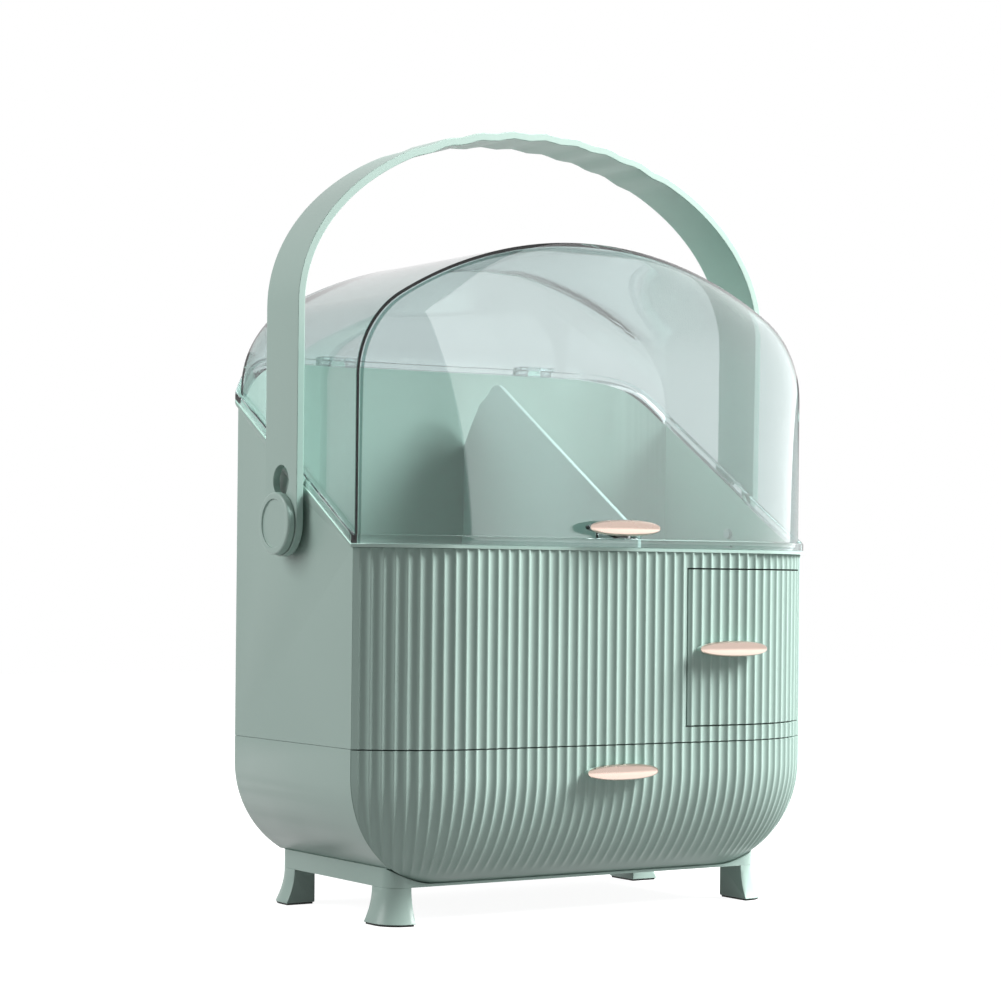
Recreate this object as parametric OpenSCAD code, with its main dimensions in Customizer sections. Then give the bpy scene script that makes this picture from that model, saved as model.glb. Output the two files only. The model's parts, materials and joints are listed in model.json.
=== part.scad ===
/* [Body] */
// Width across the flat sides
body_w = 290; // [276:2:310]
// Depth over the bowed front and back
body_d = 176; // [170:1:186]
// Distance from each flat side in to the middle of the large circles that bow the front and the back
bow_side = 62; // [56:1:66]
// Wall thickness of both housings
wall = 2.4; // [2:0.1:3]
// Radius of the round-over under the flat sides
curve_r = 56.4; // [54:0.2:58]
// Radius of the round-over under the bowed front and back
front_r = 68.5; // [64:0.5:72]
// Height of the underside of the lower housing
base_z = 29.2; // [27:0.2:32]
// Height of the seam between the lower and the upper housing
seam_z = 91; // [88:0.5:100]
// Height of the rim across the front
rim_z = 197; // [194:1:204]
// Height of the rim across the back
rim_back_z = 296; // [290:1:304]
// Rise of the slanted rim per unit of depth along the sides
rim_slope = 0.62; // [0.55:0.01:0.66]
// How far the lip under the lid stands proud
lip_out = 1.6; // [1:0.1:2.4]
// Height of the lip under the lid
lip_h = 5; // [4:0.5:7]

/* [Ribs] */
// Distance between grooves, measured along the bowed front
rib_pitch = 6.2; // [5.6:0.1:8]
// Depth of the grooves
rib_depth = 1.6; // [1:0.1:1.8]
// Thickness of the ribbed front panels over the ribs
fascia_t = 2.8; // [2.6:0.1:3.4]

/* [Lid] */
// Thickness of the clear lid
lid_t = 2.2; // [1.6:0.1:3]
// How far the lid wall stands inside the body's outline
lid_in = 1.3; // [0.8:0.1:2]
// Thickness of the flange round the lid
flange_t = 3; // [2:0.5:4]
// Radius of the lid's two shoulders
shoulder_r = 51.5; // [46:0.5:60]
// Radius of the lid's crown
crown_r = 230; // [200:5:280]
// Distance of each lid hinge from the middle
hinge_x = 66; // [50:1:75]

/* [Handle] */
// Width of the strap
strap_w = 34; // [28:1:38]
// Thickness of the strap
strap_t = 4.1; // [3.4:0.1:5]
// Height of the handle's pivots
pivot_z = 204.4; // [198:0.5:210]
// Height of the straight arms above the pivots
arm_h = 113.6; // [104:1:122]
// Rise of the bow above the straight arms
bow_h = 102; // [98:1:120]
// Height of the finger waves
wave_h = 1.1; // [0.6:0.1:1.6]
// Length of one finger wave
wave_l = 21; // [16:1:26]
// Number of finger waves
waves = 8; // [5:1:9]
// Diameter of the round pivot knobs
knob_d = 32.5; // [28:0.5:36]

/* [Drawers] */
// Width of the small drawer's opening
small_w = 95.3; // [82:0.1:100]
// Width of the post between the small drawer's opening and the flat side
post_w = 3; // [3:0.1:4]
// Bottom edge of the small drawer's opening
small_z0 = 98.9; // [98:0.1:108]
// Top edge of the small drawer's opening
small_z1 = 183.7; // [160:0.5:185]
// Visible gap round a drawer front
front_gap = 0.8; // [0.5:0.1:1.2]
// Wall thickness of the drawer trays
tray_t = 2; // [1.6:0.1:2.6]
// Clearance between a tray and the walls beside it
run_gap = 1.2; // [0.8:0.1:1.6]
// Clearance between a tray and what it slides on
slide_gap = 0.4; // [0.3:0.1:0.8]

/* [Pulls] */
// Length of a pull
pull_l = 45; // [36:1:52]
// Height of a pull
pull_h = 8.5; // [7:0.5:10]
// How far a pull stands out from the front
pull_out = 11; // [10:0.5:13]

/* [Inside] */
// Middle of the upright divider, from the middle of the body
divider_x = 16.4; // [10:0.2:17]
// Thickness of the divider
divider_t = 2.8; // [2:0.1:3.2]
// Height of the divider at the back
divider_z = 287; // [270:1:289]

/* [Base] */
// How far the base frame stands inside the flat sides
frame_side = 25.6; // [25:0.1:30]
// How far the base frame stands inside the bowed front and back
frame_front = 28.6; // [28:0.1:32]
// Height of the feet
foot_h = 19.2; // [17:0.2:22]
// Outward flare of a foot at the floor
foot_flare = 4.8; // [3:0.2:6]
// Thickness of the pads under the feet
pad_t = 1; // [0.6:0.1:1.6]

/* [Hidden] */

sage = [0.62, 0.71, 0.67];
sage_dark = [0.53, 0.64, 0.59];
clear_green = [0.62, 0.80, 0.76, 0.45];
rose_gold = [0.86, 0.70, 0.62];
steel = [0.75, 0.76, 0.78];
pad_grey = [0.25, 0.27, 0.26];

big_fn = 180;
$fn = 48;

bow_r = body_d / 2;
side_x = body_w / 2;
bow_x = side_x - bow_side;
frame_w = body_w - 2 * frame_side;
frame_d = body_d - 2 * frame_front;
small_x1 = side_x - post_w;
small_x0 = small_x1 - small_w;
// Clearance that keeps two fixed pieces of one body apart
seat = 0.2;
// Wall behind the ribbed panel, as insets from the outline
front_out = fascia_t + seat;
front_in = front_out + wall;
// Gap along the seams between fixed shells
seam_gap = 0.2;
// How far below the flat underside the sides' round-over would reach
curve_drop = 8.6;
curve_z = base_z - curve_drop + curve_r;
far = 600;

// Depth of the corner edge where an outline inset by d meets the flat side
function corner_y(d) = sqrt(pow(bow_r - d, 2) - pow(side_x - bow_x - d, 2));

// Inset at height z of a surface that lies e inside a round-over of radius r
function round_inset(z, e, r) = z >= curve_z ? e
    : r - sqrt(max(0, pow(r - e, 2) - pow(curve_z - z, 2)));

// Height at which the front's round-over is inset by d
function front_height(d) = curve_z - sqrt(pow(front_r, 2) - pow(front_r - d, 2));

// Corner, seen from above, where the front inset by d meets the round-over of the side
function mitre(d) = let (x = side_x - round_inset(front_height(d), 0, curve_r))
    [x, -sqrt(pow(bow_r - d, 2) - pow(max(0, x - bow_x), 2))];

corner0 = corner_y(0);
// Depth at which the slanted sides of the rim end, just inside the corner edges
rim_y = corner0 - 0.3;
rim_corner_z = rim_z + rim_slope * 2 * rim_y;
// How fast the rim levels out along the back
rim_ease = 1.7;

// Height of the body's rim at depth y
function rim(y) = y <= -rim_y ? rim_z
    : y <= rim_y ? rim_z + rim_slope * (y + rim_y)
    : rim_back_z - (rim_back_z - rim_corner_z) * pow(1 - min(1, (y - rim_y) / (bow_r - rim_y)), rim_ease);

// Outline of the body seen from above, inset by d
module plan(d) {
    intersection() {
        union() {
            for (s = [-1, 1]) translate([s * bow_x, 0]) circle(r = bow_r - d, $fn = big_fn);
            square([2 * bow_x, 2 * (bow_r - d)], center = true);
        }
        square([body_w - 2 * d, 2 * bow_r], center = true);
    }
}

// Region in front of the two mitred corner lines, moved back by g
module front_region(g, depth) {
    steps = 8;
    edge = [for (i = [0:steps]) let (d = depth * i / steps) [side_x - d, -corner_y(d) + g]];
    polygon(concat([[side_x + 20, -corner0 + g]], edge,
        [for (i = [steps:-1:0]) [-edge[i][0], edge[i][1]]],
        [[-side_x - 20, -corner0 + g], [-side_x - 20, -bow_r - 20], [side_x + 20, -bow_r - 20]]));
}

// Region of the big drawer's front, in front of its mitred corners moved back by g
module drawer_region(g) {
    steps = 12;
    edge = [for (i = [0:steps]) let (p = mitre(skin_depth * i / steps)) [p[0], p[1] + g]];
    polygon(concat([[side_x + 20, edge[0][1]]], edge, [for (i = [steps:-1:0]) [-edge[i][0], edge[i][1]]],
        [[-side_x - 20, edge[0][1]], [-side_x - 20, -bow_r - 20], [side_x + 20, -bow_r - 20]]));
}

// Profile of the bowed depth with its rounded bottom: half of it for y above 0
module bow_profile(e, z0, z1) {
    intersection() {
        union() {
            translate([bow_r - front_r, curve_z]) circle(r = front_r - e, $fn = big_fn);
            translate([0, curve_z - front_r + e]) square([bow_r - front_r, front_r]);
            translate([0, curve_z]) square([bow_r - e, far]);
        }
        translate([0, z0]) square([bow_r, z1 - z0]);
    }
}

// Profile across the width with its rounded bottom
module side_profile(e, z0, z1) {
    inner = side_x - curve_r;
    intersection() {
        union() {
            for (s = [-1, 1])
                translate([s * inner, curve_z]) circle(r = curve_r - e, $fn = big_fn);
            translate([-inner, curve_z - curve_r + e]) square([2 * inner, curve_r]);
            translate([-side_x + e, curve_z]) square([2 * (side_x - e), far]);
        }
        translate([-side_x, z0]) square([2 * side_x, z1 - z0]);
    }
}

// The whole rounded body as a solid, e inside the outside, between two heights
module rounded_body(e, z0, z1) {
    intersection() {
        union() {
            for (s = [0, 1]) mirror([s, 0, 0]) translate([bow_x, 0, 0])
                rotate([0, 0, -90]) rotate_extrude(angle = 180, $fn = big_fn)
                    bow_profile(e, z0, z1);
            for (s = [0, 1]) mirror([0, s, 0]) translate([-bow_x, 0, 0])
                rotate([90, 0, 90]) linear_extrude(2 * bow_x) bow_profile(e, z0, z1);
        }
        translate([0, bow_r + 10, 0]) rotate([90, 0, 0])
            linear_extrude(2 * bow_r + 20) side_profile(e, z0, z1);
    }
}

// Everything below the rim, moved by dz
module under_rim(dz) {
    back_steps = 8;
    curve = [for (i = [0:back_steps])
        let (y = rim_y + (bow_r - rim_y) * i / back_steps) [y, rim(y) + dz]];
    translate([-far / 2, 0, 0]) rotate([90, 0, 90]) linear_extrude(far)
        polygon(concat([[-far, -far], [-far, rim_z + dz], [-rim_y, rim_z + dz]], curve,
            [[far, rim_back_z + dz], [far, -far]]));
}

// Lower edge of the ribbed panel's top, under the lip
fascia_z1 = rim_z - lip_h - seam_gap;
drawer_floor_z = seam_z + wall;
shelf_z = small_z1 + 1.5;
shelf_top = shelf_z + wall;
bay_wall_x = divider_x + divider_t / 2 + 0.4;
guide_x1 = small_x0 - 2.7;
inner_x = side_x - wall;
// Back end of both drawer trays, and width of the strips that the small one slides on
tray_back_y = corner0 - 5;
runner_w = 5;

// Inside of the upper housing seen from above
module inside_plan() {
    difference() {
        plan(wall);
        difference() {
            front_region(0, 20);
            plan(front_in);
        }
    }
}

module inside_block(x0, x1, z0, z1) {
    translate([0, 0, z0]) linear_extrude(z1 - z0) intersection() {
        inside_plan();
        translate([x0, -bow_r]) square([x1 - x0, 2 * bow_r]);
    }
}

// How far the hinge pins stand behind the back
hinge_out = 7.6;
hinge_y = bow_r + hinge_out;
hinge_z = rim_back_z;
knuckle_r = 3.4;
pin_r = 1.5;
pin_gap = 0.06;
mid_knuckle = 9;
lid_knuckle = 7;
knuckle_gap = 0.4;

// Middle knuckle of one hinge with the bracket that carries it
module body_knuckle(x) {
    translate([x - mid_knuckle / 2, 0, 0]) rotate([90, 0, 90]) linear_extrude(mid_knuckle)
        union() {
            translate([hinge_y, hinge_z]) circle(r = knuckle_r);
            polygon([[bow_r - 1, hinge_z - 14], [bow_r - 1, hinge_z - 0.4],
                [hinge_y - 1, hinge_z - 0.4], [hinge_y + 2.6, hinge_z - 2.2]]);
        }
}

screw_x = 60;
screw_y = bow_r - wall - 4.2;
stud_r = 5.5;
pivot_boss_h = 3.1;
// Low round pads on the side walls under the handle's pivots
pad_r = 27;
pad_h = 0.7;
knob_screw_r = 1.5;

module upper_housing() {
    color(sage) difference() {
        union() {
            intersection() {
                translate([0, 0, seam_z]) linear_extrude(far) difference() {
                    plan(0);
                    difference() {
                        front_region(0.2, 20);
                        plan(front_out);
                    }
                }
                under_rim(0);
            }
            intersection() {
                linear_extrude(far) difference() {
                    plan(-lip_out);
                    plan(front_in - 0.5);
                }
                difference() {
                    under_rim(0);
                    under_rim(-lip_h);
                }
            }
            for (s = [-1, 1]) {
                body_knuckle(s * hinge_x);
                translate([s * (side_x - 0.5), 0, pivot_z]) rotate([0, s * 90, 0]) {
                    cylinder(r = 9, h = pivot_boss_h + 0.5);
                    cylinder(r = pad_r, h = pad_h + 0.5, $fn = 96);
                }
            }
        }
        inside_block(-side_x, bay_wall_x, drawer_floor_z, far);
        inside_block(-side_x, side_x, shelf_top, far);
        inside_block(bay_wall_x + wall, guide_x1 - wall, drawer_floor_z, shelf_z);
        inside_block(guide_x1, side_x, drawer_floor_z, shelf_z);
        translate([small_x0, -bow_r - 5, small_z0])
            cube([small_x1 - small_x0, bow_r, small_z1 - small_z0]);
        for (s = [-1, 1]) {
            translate([s * hinge_x - mid_knuckle, hinge_y, hinge_z]) rotate([0, 90, 0])
                cylinder(r = pin_r + pin_gap, h = 2 * mid_knuckle);
            translate([s * (side_x - wall - 2), 0, pivot_z]) rotate([0, s * 90, 0])
                cylinder(r = knob_screw_r + 0.1, h = wall + pivot_boss_h + 4);
            translate([s * screw_x, screw_y, seam_z - 1])
                cylinder(r = 1.7, h = wall + 2);
        }
    }
    color(sage) for (x = [guide_x1 - 0.5, inner_x - runner_w + 0.5])
        translate([x, -tray_back_y, drawer_floor_z - 0.5])
            cube([runner_w, 2 * tray_back_y, small_z0 - drawer_floor_z + 0.4]);
}

// Arc-length positions across the ribbed front and how deep each one lies, as
// parts of the groove depth
arc_total = bow_x + bow_r * asin((side_x - bow_x) / bow_r) * PI / 180;
grooves = 2 * floor((arc_total - 0.45 * rib_pitch) / rib_pitch + 0.5);
rib_marks = concat([[-arc_total, 0], [-grooves / 2 * rib_pitch, 0]],
    [for (j = [0:grooves - 1]) let (s = (j - (grooves - 1) / 2) * rib_pitch)
        for (m = [[-0.17, 0.37], [0, 1], [0.17, 0.37], [0.5, 0]])
            [s + m[0] * rib_pitch, m[1]]],
    [[arc_total, 0]]);

// Point of the front at arc length s, inset by d
function corner_arc(d) = bow_x + bow_r * asin((side_x - bow_x - d) / (bow_r - d)) * PI / 180;
function front_point(s, d) = abs(s) <= bow_x ? [s, -(bow_r - d)]
    : let (a = (abs(s) - bow_x) / bow_r * 180 / PI)
        [sign(s) * (bow_x + (bow_r - d) * sin(a)), -(bow_r - d) * cos(a)];
function corner_point(side, d) = [side * (side_x - d), -corner_y(d)];

// Ribbed outline from the left corner to the right one
ribbed_line = concat([corner_point(-1, 0)],
    [for (i = [1:len(rib_marks) - 2])
        front_point(rib_marks[i][0], rib_marks[i][1] * rib_depth)],
    [corner_point(1, 0)]);

// Smooth line behind it, from the right corner to the left one, inset by d
function smooth_line(d, n) = let (c = corner_arc(d)) concat([corner_point(1, d)],
    [for (i = [1:n - 1]) front_point(c - (c - bow_x) * i / n, d)],
    [front_point(bow_x, d), front_point(-bow_x, d)],
    [for (i = [1:n - 1]) front_point(-bow_x - (c - bow_x) * i / n, d)],
    [corner_point(-1, d)]);

module ribbed_plate(z0, z1) {
    translate([0, 0, z0]) linear_extrude(z1 - z0)
        polygon(concat(ribbed_line, smooth_line(fascia_t, 10)));
}

module front_fascia() {
    color(sage) difference() {
        ribbed_plate(seam_z, fascia_z1);
        translate([small_x0, -bow_r - 5, small_z0])
            cube([small_x1 - small_x0, bow_r, small_z1 - small_z0]);
    }
}

floor_top = base_z + wall;
drawer_top = seam_z - 1.1;
// The big drawer's skin: its thickness and its lower edge, just above a thin lip of the base frame
skin_t = 3.2;
skin_z0 = foot_h + 1.6;
// Heights at which its ribs run out and at which they are full
rib_end_z = 25;
rib_full_z = 33;
skin_rows = 9;
skin_a = asin((curve_z - skin_z0) / front_r);
skin_z = concat([drawer_top], [for (i = [0:skin_rows]) curve_z - front_r * sin(skin_a * i / skin_rows)]);
skin_depth = round_inset(skin_z0, skin_t, front_r);
boss_r = 4.4;
// Clearance between the big drawer's front and the housing behind it, and the frame's bar behind it
skin_gap = 0.5;
frame_gap = 5;

module lower_housing() {
    front_floor = round_inset(base_z, skin_t, front_r) + skin_gap;
    boss_h = 26;
    color(sage) difference() {
        union() {
            difference() {
                rounded_body(0, base_z, seam_z - seam_gap);
                rounded_body(wall, floor_top, far);
                linear_extrude(far) drawer_region(skin_gap);
            }
            intersection() {
                rounded_body(0, base_z, floor_top);
                linear_extrude(far) plan(front_floor);
            }
            for (s = [-1, 1]) translate([s * screw_x, screw_y, seam_z - boss_h])
                cylinder(r = boss_r, h = boss_h - seam_gap);
        }
        for (s = [-1, 1]) translate([s * screw_x, screw_y, seam_z - 16])
            cylinder(r = 1.3, h = 20);
        for (x = [-1, 1], y = [-1, 1])
            translate([x * base_screw_x, y * base_screw_y, base_z - 1])
                cylinder(r = 1.3, h = wall + 2);
    }
}

// Widths of the frame's side rails and of its front and back bars
rail_w = 9;
bar_w = 18;
frame_r = 9.6;
foot_wx = 12.6;
foot_wy = 18.6;
// Blocks in the frame's corners that take the feet's pegs
block_w = 14;
block_d = 22;
base_screw_x = frame_w / 2 - rail_w / 2;
base_screw_y = frame_d / 2 - foot_wy - 10;
screw_head_r = 3;
screw_head_h = 2;
housing_screw_l = 14;

module rounded_rect(w, d, r) {
    square([w - 2 * r, d], center = true);
    square([w, d - 2 * r], center = true);
    for (x = [-1, 1], y = [-1, 1]) translate([x * (w / 2 - r), y * (d / 2 - r)]) circle(r = r);
}

module base_frame() {
    color(sage) difference() {
        translate([0, 0, foot_h]) linear_extrude(base_z - foot_h) difference() {
            rounded_rect(frame_w, frame_d, frame_r);
            difference() {
                square([frame_w - 2 * rail_w, frame_d - 2 * bar_w], center = true);
                for (x = [-1, 1], y = [-1, 1])
                    translate([x * (frame_w / 2 - rail_w), y * (frame_d / 2 - rail_w)])
                        square([block_w, block_d], center = true);
            }
        }
        // Room above a thin lip for the big drawer's front, which slides out in front of the frame
        intersection() {
            linear_extrude(far) drawer_region(frame_gap);
            for (y = [0, skin_gap - rail_w / 3]) translate([0, y, 0])
                rounded_body(-skin_gap, skin_z0 - seam_gap, base_z + 1);
        }
        for (x = [-1, 1], y = [-1, 1]) {
            translate([x * base_screw_x, y * base_screw_y, foot_h - 1]) {
                cylinder(r = 1.7, h = base_z - foot_h + 2);
                cylinder(r = screw_head_r + 0.3, h = screw_head_h + 1.4);
            }
            translate([x * peg_x, y * peg_y, foot_h - 1]) cylinder(r = peg_r + 0.05, h = peg_h + 1.2);
        }
    }
}

peg_x = frame_w / 2 - 6.6;
peg_y = frame_d / 2 - 8;
peg_r = 2.5;
peg_h = 6;

// Outline of a foot in its own quadrant, standing f outside the frame's outline
function foot_outline(f) = let (r = frame_r + f) concat(
    [[frame_w / 2 - foot_wx, frame_d / 2 - foot_wy], [frame_w / 2 + f, frame_d / 2 - foot_wy]],
    [for (a = [0:18:90]) [frame_w / 2 - frame_r + r * cos(a), frame_d / 2 - frame_r + r * sin(a)]],
    [[frame_w / 2 - foot_wx, frame_d / 2 + f]]);

module foot(side, depth) {
    rings = 8;
    n = len(foot_outline(0));
    pts = [for (i = [0:rings]) let (t = i / rings)
        for (p = foot_outline(foot_flare * pow(1 - t, 2)))
            [p[0], p[1], pad_t + (foot_h - pad_t) * t]];
    sides = [for (i = [0:rings - 1], k = [0:n - 1]) let (a = i * n + k, b = i * n + (k + 1) % n)
        for (f = [[a, a + n, b + n], [a, b + n, b]]) f];
    color(sage) mirror([side < 0 ? 1 : 0, 0, 0]) mirror([0, depth < 0 ? 1 : 0, 0]) union() {
        polyhedron(pts, concat(sides, [[for (k = [0:n - 1]) k],
            [for (k = [n - 1:-1:0]) rings * n + k]]));
        translate([peg_x, peg_y, foot_h - 0.5]) cylinder(r = peg_r, h = peg_h + 0.5);
    }
}

module foot_front_left() foot(-1, -1);
module foot_front_right() foot(1, -1);
module foot_back_left() foot(-1, 1);
module foot_back_right() foot(1, 1);

// How far a pad stands inside the edge of its foot
pad_in = 0.8;

module foot_pads() {
    color(pad_grey) for (x = [0, 1], y = [0, 1]) mirror([x, 0, 0]) mirror([0, y, 0])
        linear_extrude(pad_t) intersection() {
            rounded_rect(frame_w + 2 * (foot_flare - pad_in), frame_d + 2 * (foot_flare - pad_in),
                frame_r + foot_flare - pad_in);
            translate([frame_w / 2 - foot_wx + pad_in, frame_d / 2 - foot_wy + pad_in])
                square([frame_w / 2, frame_d / 2]);
        }
}

// Pan-head screw that points up from height z
module screw(z, shank) {
    translate([0, 0, z]) {
        cylinder(r = screw_head_r, h = screw_head_h);
        cylinder(r = 1.25, h = shank);
    }
}

module base_screws() {
    color(steel) for (x = [-1, 1], y = [-1, 1])
        translate([x * base_screw_x, y * base_screw_y, 0])
            screw(foot_h + 0.4, base_z - foot_h + wall - 0.6);
}

module housing_screws() {
    color(steel) for (s = [-1, 1]) translate([s * screw_x, screw_y, 0])
        translate([0, 0, drawer_floor_z + screw_head_h]) mirror([0, 0, 1]) screw(0, housing_screw_l);
}

module top_divider() {
    y0 = -bow_r + front_in + 2 * seat;
    y1 = bow_r - wall - 2 * seat;
    z0 = drawer_floor_z + seat / 2;
    tip_r = 9;
    tip_y = 54;
    front_z = rim_z + 5;
    slope = atan2(divider_z - front_z, tip_y - y0);
    color(sage_dark) translate([divider_x - divider_t / 2, 0, 0]) rotate([90, 0, 90])
        linear_extrude(divider_t) union() {
            polygon(concat([[y0, z0], [y1, z0], [y1, rim_corner_z - 20], [tip_y + 16, divider_z - 10]],
                [for (a = [30:15:90 + slope])
                    [tip_y + tip_r * cos(a), divider_z - tip_r + tip_r * sin(a)]],
                [[y0, front_z]]));
        }
}

module hinge_pin(x) {
    color(steel) translate([x - mid_knuckle / 2 - knuckle_gap - lid_knuckle + 1, hinge_y, hinge_z])
        rotate([0, 90, 0])
            cylinder(r = pin_r, h = mid_knuckle + 2 * (knuckle_gap + lid_knuckle - 1));
}

module hinge_pin_left() hinge_pin(-hinge_x);
module hinge_pin_right() hinge_pin(hinge_x);

// The clear lid is one grid of points: its outside, its flange and its inside
flange_gap = 0.4;
flange_z = flange_gap + flange_t;
lid_x = side_x - lid_in;
shoulder_z = rim_corner_z + flange_z + 0.4;
crown_a = asin((lid_x - shoulder_r) / (crown_r - shoulder_r));
crown_c = shoulder_z - (crown_r - shoulder_r) * cos(crown_a);
lid_cols = 28;
shoulder_rows = 5;
crown_rows = 5;

// Arch of the lid from where its shoulder starts, e inside the outside: [half width, height]
function arch(e) = concat(
    [for (i = [0:shoulder_rows]) let (a = 90 - (90 - crown_a) * i / shoulder_rows)
        [lid_x - shoulder_r + (shoulder_r - e) * sin(a), shoulder_z + (shoulder_r - e) * cos(a)]],
    [for (i = [1:crown_rows - 1]) let (a = crown_a * (1 - i / crown_rows))
        [(crown_r - e) * sin(a), crown_c + (crown_r - e) * cos(a)]]);
function lid_top(e) = crown_c + crown_r - e;

// How far a bowed end stands out at part t of the half width, 1 in the straight middle
function bow_part(t, d) = let (x = abs(t) * (side_x - d), r = bow_r - d, c = corner_y(d))
    x <= bow_x ? 1 : (sqrt(max(0, r * r - pow(x - bow_x, 2))) - c) / (r - c);
function bow_depth(d) = bow_r - d - corner_y(d);

// Rows of the front face start at the flange; the back face has one row below the shoulder
low_rows = 4;
function front_rows(e, z0) = concat(
    [for (i = [0:low_rows - 1]) [lid_x - e, z0 + (shoulder_z - z0) * i / low_rows]], arch(e));
function back_rows(e, z0) = concat([[lid_x - e, z0]], arch(e));

// Columns lie closer together towards the corners
function col(k) = sin(80 * (2 * k / lid_cols - 1)) / sin(80);

// One point of a domed end face
function dome_point(side, e, z_side, w, k, dz) =
    let (d = lid_in + e, t = col(k), s = bow_part(t, d), top = lid_top(e),
        yb = corner_y(d) + bow_depth(d) * s,
        zb = rim(side * yb) + dz, zc = rim(side * corner_y(d)) + dz, zm = rim(side * (bow_r - d)) + dz,
        z = zb + (z_side - zc) * (top - zb) / (top - zc),
        f = z <= zm ? 1 : 1 - pow((z - zm) / (top - zm), 2))
    [w * t, side * (corner_y(d) + bow_depth(d) * f * s), z];
function dome(side, e, rows, dz) = concat(
    [for (row = rows, k = [0:lid_cols]) dome_point(side, e, row[1], row[0], k, dz)],
    [[0, side * corner_y(lid_in + e), lid_top(e)]]);

// Closed loop round the rim, counted from the front left corner
function rim_loop(d, dz) = [for (side = [-1, 1], i = [0:lid_cols])
    let (t = col(side < 0 ? i : lid_cols - i), y = side * (corner_y(d) + bow_depth(d) * bow_part(t, d)))
        [t * (side_x - d), y, rim(y) + dz]];

function quads(side, base, rows, out) = let (n = lid_cols + 1)
    [for (i = [0:rows - 2], k = [0:lid_cols - 1])
        let (a = base + i * n + k, b = a + 1, c = b + n, d = a + n)
            for (f = side * out < 0 ? [[a, d, c], [a, c, b]] : [[a, c, d], [a, b, c]]) f];
function fan(side, base, rows, out) = let (n = lid_cols + 1, a = base + (rows - 1) * n, top = a + n)
    [for (k = [0:lid_cols - 1]) side * out < 0 ? [a + k, top, a + k + 1] : [a + k, a + k + 1, top]];

function turn(f, out) = out > 0 ? f : [for (i = [len(f) - 1:-1:0]) f[i]];

// The arch between the two end faces, and the two flat sides below it
function span_faces(fb, fr, bb, br, out) = let (n = lid_cols + 1, m = len(arch(0)),
        fs = fr - m, bs = br - m)
    concat(
        [for (i = [0:m - 1]) let (top = i == m - 1,
            f0 = fb + (fs + i) * n, b0 = bb + (bs + i) * n,
            f1 = top ? fb + fr * n : f0 + n, b1 = top ? bb + br * n : b0 + n)
            for (q = [[b0, b1, f1], [b0, f1, f0]]) turn(q, out)],
        [for (i = [0:m - 1]) let (top = i == m - 1, w = n - 1,
            f0 = fb + (fs + i) * n + w, b0 = bb + (bs + i) * n + w,
            f1 = top ? fb + fr * n : f0 + n, b1 = top ? bb + br * n : b0 + n)
            for (q = [[f0, f1, b1], [f0, b1, b0]]) turn(q, out)],
        [turn([bb, bb + n, fb + fs * n], out),
         turn([bb + n - 1, fb + fs * n + n - 1, bb + 2 * n - 1], out)],
        [for (i = [1:fs]) turn([bb, fb + i * n, fb + (i - 1) * n], out)],
        [for (i = [1:fs]) turn([bb + n - 1, fb + i * n - 1, fb + (i + 1) * n - 1], out)]);

// Strip between two loops of points; its diagonals lie along the slope of the rim
function ring(a, b, down, inner_first) = let (n = len(a))
    [for (m = [0:n - 1]) let (k = (m + 1) % n, to_middle = m % (lid_cols + 1) < lid_cols / 2,
        f = to_middle == inner_first ? [[a[m], a[k], b[m]], [a[k], b[k], b[m]]]
            : [[a[m], a[k], b[k]], [a[m], b[k], b[m]]])
        for (q = f) down ? q : turn(q, -1)];

module lid_shell() {
    e = lid_t;
    fo = front_rows(0, rim(-corner_y(lid_in)) + flange_z);
    bo = back_rows(0, rim(corner_y(lid_in)) + flange_z);
    fi = front_rows(e, rim(-corner_y(lid_in + e)) + flange_gap);
    bi = back_rows(e, rim(corner_y(lid_in + e)) + flange_gap);
    n = lid_cols + 1;
    pfo = dome(-1, 0, fo, flange_z);
    pbo = dome(1, 0, bo, flange_z);
    pfi = dome(-1, e, fi, flange_gap);
    pbi = dome(1, e, bi, flange_gap);
    top_loop = rim_loop(-lip_out, flange_z);
    low_loop = rim_loop(-lip_out, flange_gap);
    ibo = len(pfo);
    ifi = ibo + len(pbo);
    ibi = ifi + len(pfi);
    it = ibi + len(pbi);
    il = it + 2 * n;
    outer = concat([for (k = [0:lid_cols]) k], [for (k = [lid_cols:-1:0]) ibo + k]);
    inner = concat([for (k = [0:lid_cols]) ifi + k], [for (k = [lid_cols:-1:0]) ibi + k]);
    tops = [for (k = [0:2 * n - 1]) it + k];
    lows = [for (k = [0:2 * n - 1]) il + k];
    color(clear_green) polyhedron(concat(pfo, pbo, pfi, pbi, top_loop, low_loop),
        concat(quads(-1, 0, len(fo), 1), fan(-1, 0, len(fo), 1),
            quads(1, ibo, len(bo), 1), fan(1, ibo, len(bo), 1),
            quads(-1, ifi, len(fi), -1), fan(-1, ifi, len(fi), -1),
            quads(1, ibi, len(bi), -1), fan(1, ibi, len(bi), -1),
            span_faces(0, len(fo), ibo, len(bo), 1),
            span_faces(ifi, len(fi), ibi, len(bi), -1),
            ring(outer, tops, true, true), ring(tops, lows, true, true),
            ring(lows, inner, true, false)),
        convexity = 6);
}

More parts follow.
